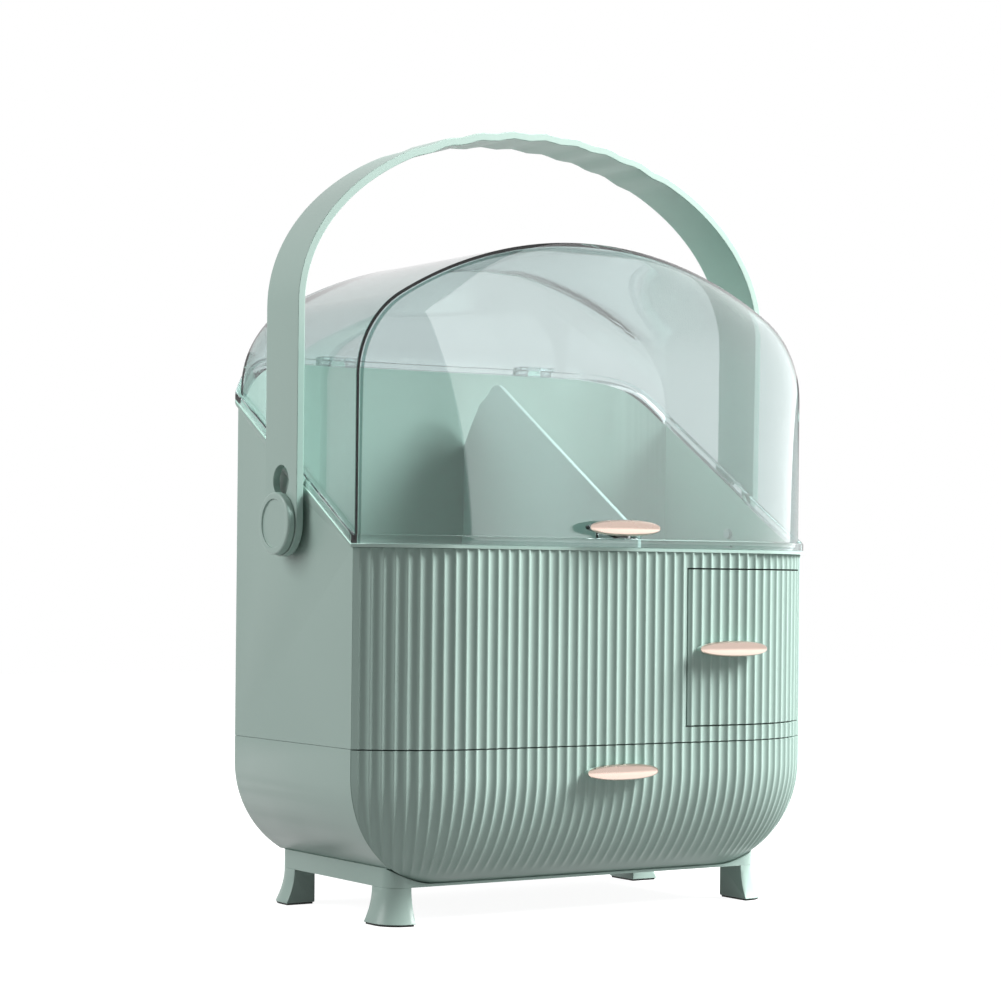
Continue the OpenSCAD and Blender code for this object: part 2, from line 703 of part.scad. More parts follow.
// Clear hinge leaf with its two knuckles; it sits on the flange behind the lid wall
module lid_hinge(x) {
    width = mid_knuckle + 2 * (knuckle_gap + lid_knuckle);
    leaf_y = bow_r - lid_in + 0.2;
    leaf_z = hinge_z + flange_z + 0.1;
    color(clear_green) difference() {
        union() {
            translate([x - width / 2, leaf_y, leaf_z]) cube([width, hinge_y - leaf_y - 2, 2]);
            for (s = [-1, 1]) translate([x + s * (width - lid_knuckle) / 2 - lid_knuckle / 2, 0, 0])
                rotate([90, 0, 90]) linear_extrude(lid_knuckle) union() {
                    translate([hinge_y, hinge_z]) circle(r = knuckle_r);
                    polygon([[bow_r + lip_out + 0.8, leaf_z], [hinge_y - 3.2, hinge_z],
                        [hinge_y + 3.2, hinge_z], [hinge_y, leaf_z + 2], [hinge_y - 6, leaf_z + 2]]);
                }
        }
        translate([x - width, hinge_y, hinge_z]) rotate([0, 90, 0])
            cylinder(r = pin_r + pin_gap, h = 2 * width);
    }
}

module lid_hinge_left() lid_hinge(-hinge_x);
module lid_hinge_right() lid_hinge(hinge_x);

cap_t = 4.4;
lid_pull_z = rim_z + flange_z + 3.6;

// Long oval lying along X, seen from the front
module oval(l, h) {
    polygon([for (a = [0:7.5:352.5]) [l / 2 * cos(a), h / 2 * sin(a)]]);
}

// Stand-off between a front and its pull, from depth y0 to depth y1
module pull_base(x, z, y0, y1, l, h) {
    translate([x, y0, z]) rotate([90, 0, 0]) linear_extrude(y0 - y1) oval(l, h);
}

// Domed metal-look cap: a slice of a long round spindle with its ends rounded
module pull_cap(x, z, y1) {
    bulge_r = (pull_l * pull_l / 4 + cap_t * cap_t) / (2 * cap_t);
    color(rose_gold) intersection() {
        translate([x, y1 + 0.1, z]) rotate([90, 0, 0]) linear_extrude(cap_t + 1) oval(pull_l, pull_h);
        translate([x, y1 + bulge_r - cap_t, z - pull_h]) cylinder(r = bulge_r, h = 2 * pull_h, $fn = big_fn);
        translate([x - pull_l, y1 + pull_h * 0.8 - cap_t, z]) rotate([0, 90, 0])
            cylinder(r = pull_h * 0.8, h = 2 * pull_l);
    }
}

cap_y = -bow_r - pull_out + cap_t;

module lid_pull_boss() {
    web_w = 28;
    web_t = 2.4;
    web_z = rim_z + flange_z + 0.1;
    color(clear_green) union() {
        pull_base(0, lid_pull_z, -bow_r + lid_in - 0.1, cap_y + 0.1, pull_l - 4, pull_h - 2);
        translate([-web_w / 2, -bow_r - lip_out, web_z]) cube([web_w, web_t, lid_pull_z - web_z]);
    }
}

module lid_pull_cap() pull_cap(0, lid_pull_z, cap_y);

// Middle line of the handle: straight arms, then half an ellipse with finger waves
arm_x = side_x + 3.4 + strap_t / 2;
arm_top = pivot_z + arm_h;
bow_steps = 92;
wave_zone = waves * wave_l / 2;
function bow_xz(a) = [arm_x * cos(a), arm_top + (bow_h - strap_t / 2) * sin(a)];
function bow_normal(a) = let (v = [cos(a) / arm_x, sin(a) / (bow_h - strap_t / 2)]) v / norm(v);
function wave(x) = abs(x) > wave_zone ? 0 : -wave_h * (1 - cos(360 * (x + wave_zone) / wave_l)) / 2;
function strap_line(off) = [for (i = [0:bow_steps]) let (a = 180 * i / bow_steps, p = bow_xz(a))
    p + bow_normal(a) * (off + wave(p[0]))];

module handle() {
    hole_r = 8.3;
    hole_up = 22;
    slot_r = stud_r - 1;
    color(sage) difference() {
        union() {
            translate([0, strap_w / 2, 0]) rotate([90, 0, 0]) linear_extrude(strap_w)
                polygon(concat([[arm_x + strap_t / 2, pivot_z]], strap_line(strap_t / 2),
                    [[-arm_x - strap_t / 2, pivot_z], [-arm_x + strap_t / 2, pivot_z]],
                    [for (i = [bow_steps:-1:0]) strap_line(-strap_t / 2)[i]],
                    [[arm_x - strap_t / 2, pivot_z]]));
            for (s = [-1, 1]) translate([s * arm_x - strap_t / 2, 0, pivot_z]) rotate([0, 90, 0])
                cylinder(r = strap_w / 2, h = strap_t, $fn = 96);
        }
        for (s = [-1, 1]) {
            translate([s * arm_x - strap_t, 0, pivot_z]) rotate([0, 90, 0])
                cylinder(r = stud_r + 0.08, h = 2 * strap_t);
            translate([s * arm_x - strap_t, 0, pivot_z + hole_up]) rotate([0, 90, 0])
                cylinder(r = hole_r, h = 2 * strap_t);
            translate([s * arm_x - strap_t, -slot_r, pivot_z]) cube([2 * strap_t, 2 * slot_r, hole_up]);
        }
    }
}

knob_t = 4;
// Rounding of a knob's edge, and the rim round the shallow recess in its face
knob_round = 1.2;
knob_rim = 3.6;
knob_recess = 0.9;

module pivot_knob(s) {
    stud_x = side_x + pivot_boss_h;
    face_x = arm_x + strap_t / 2 + 0.3;
    color(sage) translate([0, 0, pivot_z]) rotate([0, s * 90, 0]) difference() {
        union() {
            translate([0, 0, stud_x]) cylinder(r = stud_r, h = face_x - stud_x + 1);
            translate([0, 0, face_x]) rotate_extrude($fn = 96) union() {
                square([knob_d / 2 - knob_round, knob_t]);
                square([knob_d / 2, knob_t - knob_round]);
                translate([knob_d / 2 - knob_round, knob_t - knob_round]) circle(r = knob_round);
            }
        }
        translate([0, 0, face_x + knob_t - knob_recess])
            cylinder(r = knob_d / 2 - knob_rim, h = 5, $fn = 96);
        translate([0, 0, stud_x - 1]) cylinder(r = knob_screw_r - 0.25, h = 7);
    }
}

module pivot_knob_left() pivot_knob(-1);
module pivot_knob_right() pivot_knob(1);

module pivot_screws() {
    color(steel) for (s = [-1, 1]) translate([0, 0, pivot_z]) rotate([0, s * 90, 0])
        screw(side_x - wall - screw_head_h, screw_head_h + wall + pivot_boss_h + 4.6);
}

tray_e = wall + run_gap;
big_tray_z0 = floor_top + slide_gap;
big_tray_z1 = seam_z - 5;

module big_drawer_tray() {
    color(sage_dark) intersection() {
        difference() {
            rounded_body(tray_e, big_tray_z0, big_tray_z1);
            rounded_body(tray_e + tray_t, big_tray_z0 + tray_t, far);
        }
        translate([-far / 2, -far + tray_back_y, 0]) cube([far, far, far]);
    }
    color(sage_dark) intersection() {
        rounded_body(tray_e, big_tray_z0, big_tray_z1);
        translate([-far / 2, tray_back_y - tray_t, 0]) cube([far, tray_t, far]);
    }
}

// The ribbed front of the big drawer, which follows the rounded bottom and its mitred corners
// Marks nearer than this to a mitred corner fall together in its corner point
corner_skip = 0.4;
// The smooth inside follows the corners and the crest between every two grooves
crests = concat([rib_marks[0]], [for (k = [1:4:len(rib_marks) - 2]) rib_marks[k]], [[arc_total, 0]]);
function crest_mark(j) = j == 0 ? 0 : j == len(crests) - 1 ? len(rib_marks) - 1 : 4 * j - 3;

// Arc length at which the front inset by d meets its mitred corner
function mitre_arc(d) = bow_x + bow_r * asin((mitre(d)[0] - bow_x) / (bow_r - d)) * PI / 180;

// Point at a mark, inset by d, with a groove that stays on its own side of the mitred corner
function skin_point(mark, d, depth) = let (left = mitre_arc(d) - abs(mark[0]), c = mitre(d))
    left < corner_skip ? [sign(mark[0]) * c[0], c[1]]
        : front_point(mark[0], d + min(mark[1] * depth, 0.3 * left));

// Number of mark k in a row that is inset by d, where marks past a corner take the corner's number
function skin_index(marks, k, d) = abs(marks[k][0]) < mitre_arc(d) - corner_skip ? k
    : marks[k][0] < 0 ? 0 : len(marks) - 1;

module big_drawer_front() {
    rows = len(skin_z);
    n = len(rib_marks);
    m = len(crests);
    out_d = [for (z = skin_z) round_inset(z, 0, front_r)];
    in_d = [for (z = skin_z) round_inset(z, skin_t, front_r)];
    fade = [for (z = skin_z) min(1, max(0, (z - rib_end_z) / (rib_full_z - rib_end_z)))];
    outer = [for (i = [0:rows - 1], mark = rib_marks)
        let (p = skin_point(mark, out_d[i], rib_depth * fade[i])) [p[0], p[1], skin_z[i]]];
    inner = [for (i = [0:rows - 1], mark = crests)
        let (p = skin_point(mark, in_d[i], 0)) [p[0], p[1], skin_z[i]]];
    function o(i, k) = i * n + skin_index(rib_marks, k, out_d[i]);
    function q(i, j) = rows * n + i * m + skin_index(crests, j, in_d[i]);
    front = [for (i = [0:rows - 2], k = [0:n - 2])
        for (f = [[o(i, k), o(i, k + 1), o(i + 1, k + 1)], [o(i, k), o(i + 1, k + 1), o(i + 1, k)]]) f];
    back = [for (i = [0:rows - 2], j = [0:m - 2])
        for (f = [[q(i, j), q(i + 1, j + 1), q(i, j + 1)], [q(i, j), q(i + 1, j), q(i + 1, j + 1)]]) f];
    ends = [for (i = [0:rows - 2]) for (f = [
        [o(i, n - 1), q(i, m - 1), q(i + 1, m - 1)], [o(i, n - 1), q(i + 1, m - 1), o(i + 1, n - 1)],
        [q(i, 0), o(i, 0), o(i + 1, 0)], [q(i, 0), o(i + 1, 0), q(i + 1, 0)]]) f];
    // Upper and lower edge: a fan from each crest of the inside to the marks beside it
    edges = [for (i = [0, rows - 1], j = [0:m - 2])
        let (k0 = crest_mark(j), k1 = crest_mark(j + 1), mid = floor((k0 + k1) / 2))
            for (f = concat([[q(i, j), q(i, j + 1), o(i, mid)]],
                [for (k = [k0:k1 - 1]) [o(i, k), k < mid ? q(i, j) : q(i, j + 1), o(i, k + 1)]]))
                i == 0 ? f : [f[2], f[1], f[0]]];
    color(sage) polyhedron(concat(outer, inner),
        [for (f = concat(front, back, ends, edges)) if (f[0] != f[1] && f[1] != f[2] && f[0] != f[2]) f],
        convexity = 8);
}

big_pull_z = (drawer_top + curve_z) / 2 - 6.4;

module big_drawer_pull_base() {
    color(sage) pull_base(0, big_pull_z, -bow_r - 0.05, cap_y + 0.1, pull_l - 4, pull_h - 2);
}

module big_drawer_pull_cap() pull_cap(0, big_pull_z, cap_y);

small_pull_x = 72.6;
small_pull_z = (small_z0 + small_z1) / 2 - 0.7;

module small_drawer_tray() {
    x0 = small_x0 + run_gap;
    x1 = small_x1 - front_gap;
    z0 = small_z0 + slide_gap;
    z1 = small_z1 - 3;
    color(sage_dark) difference() {
        translate([0, 0, z0]) linear_extrude(z1 - z0) intersection() {
            plan(front_out + 0.1);
            translate([x0, -bow_r]) square([x1 - x0, bow_r + tray_back_y]);
        }
        translate([0, 0, z0 + tray_t]) linear_extrude(far) intersection() {
            plan(front_out + 0.1 + tray_t);
            translate([x0 + tray_t, -bow_r])
                square([x1 - x0 - 2 * tray_t, bow_r + tray_back_y - tray_t]);
        }
    }
}

module small_drawer_front() {
    color(sage) intersection() {
        ribbed_plate(small_z0 + front_gap, small_z1 - front_gap);
        translate([small_x0 + front_gap, -bow_r - 5, 0])
            cube([small_x1 - small_x0 - 2 * front_gap, bow_r, far]);
    }
}

module small_drawer_pull_base() {
    color(sage) pull_base(small_pull_x, small_pull_z, -bow_r - 0.05, cap_y + 0.1,
        pull_l - 4, pull_h - 2);
}

module small_drawer_pull_cap() pull_cap(small_pull_x, small_pull_z, cap_y);

upper_housing();
front_fascia();
lower_housing();
base_frame();
foot_front_left();
foot_front_right();
foot_back_left();
foot_back_right();
foot_pads();
base_screws();
housing_screws();
top_divider();
hinge_pin_left();
hinge_pin_right();
lid_shell();
lid_hinge_left();
lid_hinge_right();
lid_pull_boss();
lid_pull_cap();
handle();
pivot_knob_left();
pivot_knob_right();
pivot_screws();
big_drawer_tray();
big_drawer_front();
big_drawer_pull_base();
big_drawer_pull_cap();
small_drawer_tray();
small_drawer_front();
small_drawer_pull_base();
small_drawer_pull_cap();
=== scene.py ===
# %% [markdown]
# # A dustproof make-up organizer, dressed for its photograph
# The construction of this case is already settled: two moulded housings, two drawers, a clear domed lid
# and a strap handle. The working model says where every piece is and how it moves. This notebook gives
# each piece the surface that the real one has: rounded moulded edges, fine reeded fronts, tinted clear
# plastic, plated pulls. All lengths are in metres, in the frame of the working model: X to the right, Y to
# the back, Z up.

# %% Load the working model
import json
import math

import bmesh
import bpy
from mathutils import Matrix, Vector


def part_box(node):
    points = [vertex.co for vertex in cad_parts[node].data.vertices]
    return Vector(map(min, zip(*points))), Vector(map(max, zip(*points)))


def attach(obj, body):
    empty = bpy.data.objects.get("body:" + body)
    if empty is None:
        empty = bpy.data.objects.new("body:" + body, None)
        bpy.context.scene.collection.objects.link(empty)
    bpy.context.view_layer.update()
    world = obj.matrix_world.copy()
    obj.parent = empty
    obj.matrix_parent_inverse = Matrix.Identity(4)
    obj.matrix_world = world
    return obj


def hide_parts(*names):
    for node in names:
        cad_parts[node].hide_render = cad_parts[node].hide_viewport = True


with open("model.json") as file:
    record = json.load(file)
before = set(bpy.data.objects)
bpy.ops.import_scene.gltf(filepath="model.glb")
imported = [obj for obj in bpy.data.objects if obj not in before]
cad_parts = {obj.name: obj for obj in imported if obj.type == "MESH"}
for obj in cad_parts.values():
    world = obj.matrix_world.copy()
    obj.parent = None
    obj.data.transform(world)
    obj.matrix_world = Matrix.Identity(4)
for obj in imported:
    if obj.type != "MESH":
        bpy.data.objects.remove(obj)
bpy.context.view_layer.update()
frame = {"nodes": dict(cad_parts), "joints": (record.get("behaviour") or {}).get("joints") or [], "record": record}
MM = 0.001
scene = bpy.context.scene
record = frame["record"]
body_of = {n: body for body, members in record["behaviour"]["bodies"].items() for n in members}
joint_at = {j["name"]: Vector(j.get("pos_m", (0, 0, 0))) for j in frame["joints"]}

# %% [markdown]
# ## Where the camera stands
# The straight edges of the case fix the view: it is turned 33.4 degrees, level, and about 1.4 m away. The
# lens is long, so the upright edges stay parallel. A camera could be tilted to centre the case, but the
# uprights would then lean together. Here the camera stays level and takes a vertical shift, as a shifted
# lens does.

# %% Camera
EYE = Vector((-0.7902, -1.1744, 0.178))
LOOK = Vector((0.5505, 0.8348, 0.0))
LENS = 92.4
SENSOR = 36
SHIFT_X, SHIFT_Y = 0.0005, 0.0761
ROLL = math.radians(0.577)

camera_data = bpy.data.cameras.new("camera")
camera_data.lens = LENS
camera_data.sensor_width = SENSOR
camera_data.shift_x, camera_data.shift_y = SHIFT_X, SHIFT_Y
camera = bpy.data.objects.new("camera", camera_data)
scene.collection.objects.link(camera)
turn = LOOK.to_track_quat("-Z", "Y").to_matrix().to_4x4()
camera.matrix_world = Matrix.Translation(EYE) @ turn @ Matrix.Rotation(ROLL, 4, "Z")
scene.camera = camera
scene.view_settings.view_transform = "Standard"
print("camera at", [round(v, 3) for v in EYE])

# %% [markdown]
# ## A white studio
# The product stands on white. Two soft boxes light it: one on the left for the flat side, one on the right
# for the bowed front, with less light from where the camera stands. That gap is what gives every flute a
# dark side. A third box lights nothing and is only mirrored by the lid, as told further down. A bright
# world could make the white background too, but it would wash out the flutes. Here the world is dim for
# what it lights and white for what it shows, so metal and clear plastic see the same white room that the
# picture has.

# %% Node helpers
def new_node(tree, kind, place, **settings):
    node = tree.nodes.new(kind)
    node.location = place
    for key, value in settings.items():
        setattr(node, key, value)
    return node


def sum_of_rays(tree, names, place):
    """One value that is 1 for any of the named kinds of ray."""
    path = new_node(tree, "ShaderNodeLightPath", place)
    total = path.outputs[names[0]]
    for step, name in enumerate(names[1:], 1):
        joined = new_node(tree, "ShaderNodeMath", (place[0] + 180 * step, place[1]), operation="MAXIMUM")
        tree.links.new(total, joined.inputs[0])
        tree.links.new(path.outputs[name], joined.inputs[1])
        total = joined.outputs[0]
    return total


SHOWN_RAYS = ("Is Camera Ray", "Is Glossy Ray", "Is Transmission Ray")
print("white is shown to", SHOWN_RAYS)

# %% World
FILL_LEVEL = 0.18

world = bpy.data.worlds.new("white_studio")
scene.world = world
world.use_nodes = True
sky = world.node_tree
sky.nodes.clear()
lights_by = new_node(sky, "ShaderNodeBackground", (0, 100))
lights_by.inputs["Strength"].default_value = FILL_LEVEL
shown_as = new_node(sky, "ShaderNodeBackground", (0, -100))
for background in (lights_by, shown_as):
    background.inputs["Color"].default_value = (1, 1, 1, 1)
sky_mix = new_node(sky, "ShaderNodeMixShader", (250, 0))
sky_out = new_node(sky, "ShaderNodeOutputWorld", (450, 0))
sky.links.new(sum_of_rays(sky, SHOWN_RAYS, (-700, 300)), sky_mix.inputs[0])
sky.links.new(lights_by.outputs[0], sky_mix.inputs[1])
sky.links.new(shown_as.outputs[0], sky_mix.inputs[2])
sky.links.new(sky_mix.outputs[0], sky_out.inputs["Surface"])
print("world fill", FILL_LEVEL)

# %% Soft boxes
MIDDLE = Vector((0, 0, 0.2))


def soft_box(name, bearing, height, distance, size, power):
    """A rectangular lamp aimed at the case. Bearing 0 is straight in front, positive to the right."""
    lamp = bpy.data.lights.new(name, "AREA")
    lamp.shape = "RECTANGLE"
    lamp.size, lamp.size_y = size
    lamp.energy = power
    at = Vector((math.sin(math.radians(bearing)), -math.cos(math.radians(bearing)), 0)) * distance
    at.z = height
    box = bpy.data.objects.new(name, lamp)
    scene.collection.objects.link(box)
    aim = (MIDDLE - at).to_track_quat("-Z", "Y")
    box.matrix_world = Matrix.Translation(at) @ aim.to_matrix().to_4x4()
    return box


soft_box("left_box", bearing=-112, height=0.95, distance=1.4, size=(0.7, 1.1), power=15)
key = soft_box("right_box", bearing=62, height=1.15, distance=1.25, size=(1.3, 0.8), power=86)
veil = soft_box("veil_box", bearing=60, height=0.85, distance=1.3, size=(2.6, 1.6), power=32)
veil.visible_diffuse = False
print("right box", key.data.energy, "W, veil", veil.data.energy, "W")

# %% [markdown]
# ## The floor
# The case stands on white paper that keeps a soft shadow. A paper lit to pure white would throw a lot of
# light up under the case. So the floor glows only for the rays that show it, and is a plain dim surface
# for bounced light. The part that shows still takes lamp light, which is what leaves the shadow.

# %% Floor
FLOOR_SPAN = 6.0
FLOOR_GLOW = 0.94
FLOOR_SHADE = 0.30
FLOOR_BOUNCE = 0.20

floor_mesh = bpy.data.meshes.new("floor")
half = FLOOR_SPAN / 2
corners = [(-half, -half, 0), (half, -half, 0), (half, half, 0), (-half, half, 0)]
floor_mesh.from_pydata(corners, [], [(0, 1, 2, 3)])
floor = bpy.data.objects.new("floor", floor_mesh)
scene.collection.objects.link(floor)
floor_paint = bpy.data.materials.new("studio_floor")
floor_paint.use_nodes = True
tree = floor_paint.node_tree
tree.nodes.clear()
bounce = new_node(tree, "ShaderNodeBsdfDiffuse", (0, 200))
bounce.inputs["Color"].default_value = (FLOOR_BOUNCE, FLOOR_BOUNCE, FLOOR_BOUNCE, 1)
shade = new_node(tree, "ShaderNodeBsdfDiffuse", (0, 0))
shade.inputs["Color"].default_value = (FLOOR_SHADE, FLOOR_SHADE, FLOOR_SHADE, 1)
glow = new_node(tree, "ShaderNodeEmission", (0, -200))
glow.inputs["Strength"].default_value = FLOOR_GLOW
shown = new_node(tree, "ShaderNodeAddShader", (200, -100))
floor_mix = new_node(tree, "ShaderNodeMixShader", (400, 0))
floor_out = new_node(tree, "ShaderNodeOutputMaterial", (600, 0))
tree.links.new(shade.outputs[0], shown.inputs[0])
tree.links.new(glow.outputs[0], shown.inputs[1])
tree.links.new(sum_of_rays(tree, SHOWN_RAYS, (-700, 400)), floor_mix.inputs[0])
tree.links.new(bounce.outputs[0], floor_mix.inputs[1])
tree.links.new(shown.outputs[0], floor_mix.inputs[2])
tree.links.new(floor_mix.outputs[0], floor_out.inputs["Surface"])
floor_mesh.materials.append(floor_paint)
print("floor", FLOOR_SPAN, "m")

# %% [markdown]
# ## Effects that several finishes share
# Moulded plastic is never a flat colour. The steel mould leaves a very fine grain, the melt leaves slow
# changes of tone, and hands leave patches that are a little glossier. Each finish could hold its own copy
# of these nodes, but then a change has to be made in every copy. One node group makes all three from the
# place on the piece, and each finish sets its own amounts.

# %% Noise helpers
NOISE_LOW, NOISE_HIGH = 0.32, 0.68


def value_noise(tree, source, scale, detail, place):
    noise = new_node(tree, "ShaderNodeTexNoise", place)
    noise.inputs["Scale"].default_value = scale
    noise.inputs["Detail"].default_value = detail
    tree.links.new(source, noise.inputs["Vector"])
    return noise.outputs["Fac"]


def spread(tree, value, low, high, place):
    """Maps the middle of a noise onto low to high, where both may be sockets or numbers."""
    ranged = new_node(tree, "ShaderNodeMapRange", place)
    ranged.inputs["From Min"].default_value = NOISE_LOW
    ranged.inputs["From Max"].default_value = NOISE_HIGH
    for key, wanted in (("To Min", low), ("To Max", high)):
        if isinstance(wanted, (int, float)):
            ranged.inputs[key].default_value = wanted
        else:
            tree.links.new(wanted, ranged.inputs[key])
    tree.links.new(value, ranged.inputs["Value"])
    return ranged.outputs[0]


print("noise is read from", NOISE_LOW, "to", NOISE_HIGH)

# %% Moulded grain group
SLOW_SCALE, SLOW_DETAIL = 7.0, 2.0
PATCH_SCALE, PATCH_DETAIL = 26.0, 4.0
GRAIN_DETAIL = 3.0


def make_grain_group():
    """Slow changes of tone, patches of roughness and a fine grain, all worked out from the place."""
    group = bpy.data.node_groups.new("moulded_grain", "ShaderNodeTree")
    group.interface.new_socket("Colour", in_out="INPUT", socket_type="NodeSocketColor")
    for name in ("Tone Change", "Roughness Low", "Roughness High", "Grain Scale"):
        group.interface.new_socket(name, in_out="INPUT", socket_type="NodeSocketFloat")
    group.interface.new_socket("Colour", in_out="OUTPUT", socket_type="NodeSocketColor")
    for name in ("Roughness", "Height"):
        group.interface.new_socket(name, in_out="OUTPUT", socket_type="NodeSocketFloat")
    given = new_node(group, "NodeGroupInput", (-900, 0))
    result = new_node(group, "NodeGroupOutput", (600, 0))
    place = new_node(group, "ShaderNodeTexCoord", (-900, -300)).outputs["Object"]

    slow = value_noise(group, place, SLOW_SCALE, SLOW_DETAIL, (-600, 200))
    darker = new_node(group, "ShaderNodeMath", (-600, 400), operation="SUBTRACT")
    darker.inputs[0].default_value = 1.0
    group.links.new(given.outputs["Tone Change"], darker.inputs[1])
    tone = spread(group, slow, darker.outputs[0], 1.0, (-300, 250))
    toned = new_node(group, "ShaderNodeVectorMath", (0, 250), operation="SCALE")
    group.links.new(given.outputs["Colour"], toned.inputs[0])
    group.links.new(tone, toned.inputs["Scale"])
    group.links.new(toned.outputs[0], result.inputs["Colour"])

    patches = value_noise(group, place, PATCH_SCALE, PATCH_DETAIL, (-600, -50))
    least, most = given.outputs["Roughness Low"], given.outputs["Roughness High"]
    rough = spread(group, patches, least, most, (-300, -50))
    group.links.new(rough, result.inputs["Roughness"])

    grain = new_node(group, "ShaderNodeTexNoise", (-600, -300))
    grain.inputs["Detail"].default_value = GRAIN_DETAIL
    group.links.new(place, grain.inputs["Vector"])
    group.links.new(given.outputs["Grain Scale"], grain.inputs["Scale"])
    group.links.new(grain.outputs["Fac"], result.inputs["Height"])
    return group


grain_group = make_grain_group()
print("group", grain_group.name, "with", len(grain_group.nodes), "nodes")

# %% [markdown]
# ## The green plastics
# The housings, the fronts and the handle are one satin ABS. The trays are the same plastic a little
# deeper. The divider takes a paler copy of it: painted light, for the light of the right box that falls on
# it through the lid. Paint could be layered on a base coat, but this plastic is dyed through, so one
# Principled shader is enough: it takes the colour, roughness and grain from the group. Its specular level
# is a little under the usual one, because a satin mould leaves a surface that mirrors weakly.

# %% Material helpers
GRAIN_HEIGHT = 0.1 * MM


def start_material(name):
    """A material with one Principled shader wired to its output."""
    material = bpy.data.materials.new(name)
    material.use_nodes = True
    material.node_tree.nodes.clear()
    shader = new_node(material.node_tree, "ShaderNodeBsdfPrincipled", (300, 0))
    out = new_node(material.node_tree, "ShaderNodeOutputMaterial", (900, 0))
    material.node_tree.links.new(shader.outputs[0], out.inputs["Surface"])
    return material, shader


def grained(material, shader, colour, tone_change, rough, grain_scale, bump):
    """Feeds the shader from the shared group."""
    tree = material.node_tree
    grain = new_node(tree, "ShaderNodeGroup", (-300, 0), node_tree=grain_group)
    grain.inputs["Colour"].default_value = (*colour, 1)
    grain.inputs["Tone Change"].default_value = tone_change
    grain.inputs["Roughness Low"].default_value = rough[0]
    grain.inputs["Roughness High"].default_value = rough[1]
    grain.inputs["Grain Scale"].default_value = grain_scale
    bumped = new_node(tree, "ShaderNodeBump", (50, -250))
    bumped.inputs["Strength"].default_value = bump
    bumped.inputs["Distance"].default_value = GRAIN_HEIGHT
    tree.links.new(grain.outputs["Height"], bumped.inputs["Height"])
    tree.links.new(grain.outputs["Colour"], shader.inputs["Base Color"])
    tree.links.new(grain.outputs["Roughness"], shader.inputs["Roughness"])
    tree.links.new(bumped.outputs[0], shader.inputs["Normal"])


print("grain stands", GRAIN_HEIGHT, "m at full strength")

# %% Plastic finish
SATIN_SPECULAR = 0.36


def plastic(name, colour, rough, tone_change=0.05, grain_scale=2600.0, bump=0.12):
    material, shader = start_material(name)
    shader.inputs["Specular IOR Level"].default_value = SATIN_SPECULAR
    grained(material, shader, colour, tone_change, rough, grain_scale, bump)
    return material


SAGE = (0.372, 0.500, 0.450)
DEEP_SAGE = (0.27, 0.42, 0.36)
# The divider's paler sage is painted light: it stands for the lamp light that falls on it through the lid.
PAINTED_LIT_SAGE = (0.42, 0.56, 0.53)
RUBBER = (0.035, 0.038, 0.036)

sage = plastic("sage_plastic", SAGE, (0.30, 0.38))
deep_sage = plastic("deep_sage_plastic", DEEP_SAGE, (0.32, 0.42))
divider_lit_sage = plastic("divider_plastic_painted_lit", PAINTED_LIT_SAGE, (0.30, 0.40))
rubber = plastic("dark_rubber", RUBBER, (0.62, 0.78), tone_change=0.2, grain_scale=1800.0, bump=0.4)
print("sage", SAGE)

# %% [markdown]
# ## Plated and plain metal
# The pulls are rose gold plating over a moulded core: a smooth metal with slight waves from the core. The
# pins and screws are zinc-plated steel, a little rougher. A coat over plastic could stand for the plating,
# but what the eye meets is metal, so the shader is metal throughout, with the same grain group for the
# waves.

# %% Metal finish
def metal(name, colour, rough, tone_change=0.06, grain_scale=900.0, bump=0.05):
    material, shader = start_material(name)
    shader.inputs["Metallic"].default_value = 1.0
    grained(material, shader, colour, tone_change, rough, grain_scale, bump)
    return material


ROSE_GOLD = (0.74, 0.58, 0.50)
ZINC = (0.56, 0.57, 0.58)
rose_gold = metal("rose_gold_plating", ROSE_GOLD, (0.26, 0.32))
steel = metal("zinc_steel", ZINC, (0.30, 0.42), grain_scale=3200.0, bump=0.2)
print("rose gold", ROSE_GOLD)

# %% [markdown]
# ## The clear green lid
# Tinted clear plastic looks pale face-on and dark where the eye looks along the wall, at its silhouette.
# The crease round the domed front shows as a dark line. A volume with colour could make the tint, but it
# renders slowly in a wall of 2 mm. Here Layer Weight darkens the grazing parts, and a mask worked out from
# the place on the lid paints shade along the front crease as a dark line. For lamps and bounced light the
# wall is a tinted sheet, so the inside of the case stays lit.

# %% Soft mask
# LID_DARK is the tint seen along the wall, and also the painted shade of the crease line.
LID_LIGHT = (0.675, 0.74, 0.74)
LID_DARK = (0.06, 0.16, 0.14)


def smooth_mask(tree, value, near, far, place):
    """1 where value is below near, 0 above far, with a soft step."""
    ranged = new_node(tree, "ShaderNodeMapRange", place, interpolation_type="SMOOTHSTEP")
    ranged.inputs["From Min"].default_value = near
    ranged.inputs["From Max"].default_value = far
    ranged.inputs["To Min"].default_value = 1.0
    ranged.inputs["To Max"].default_value = 0.0
    tree.links.new(value, ranged.inputs["Value"])
    return ranged.outputs[0]


print("clear plastic runs from", LID_LIGHT, "to", LID_DARK)

# %% Crease line of painted shade
CREASE_SHADE_CORE = 0.4


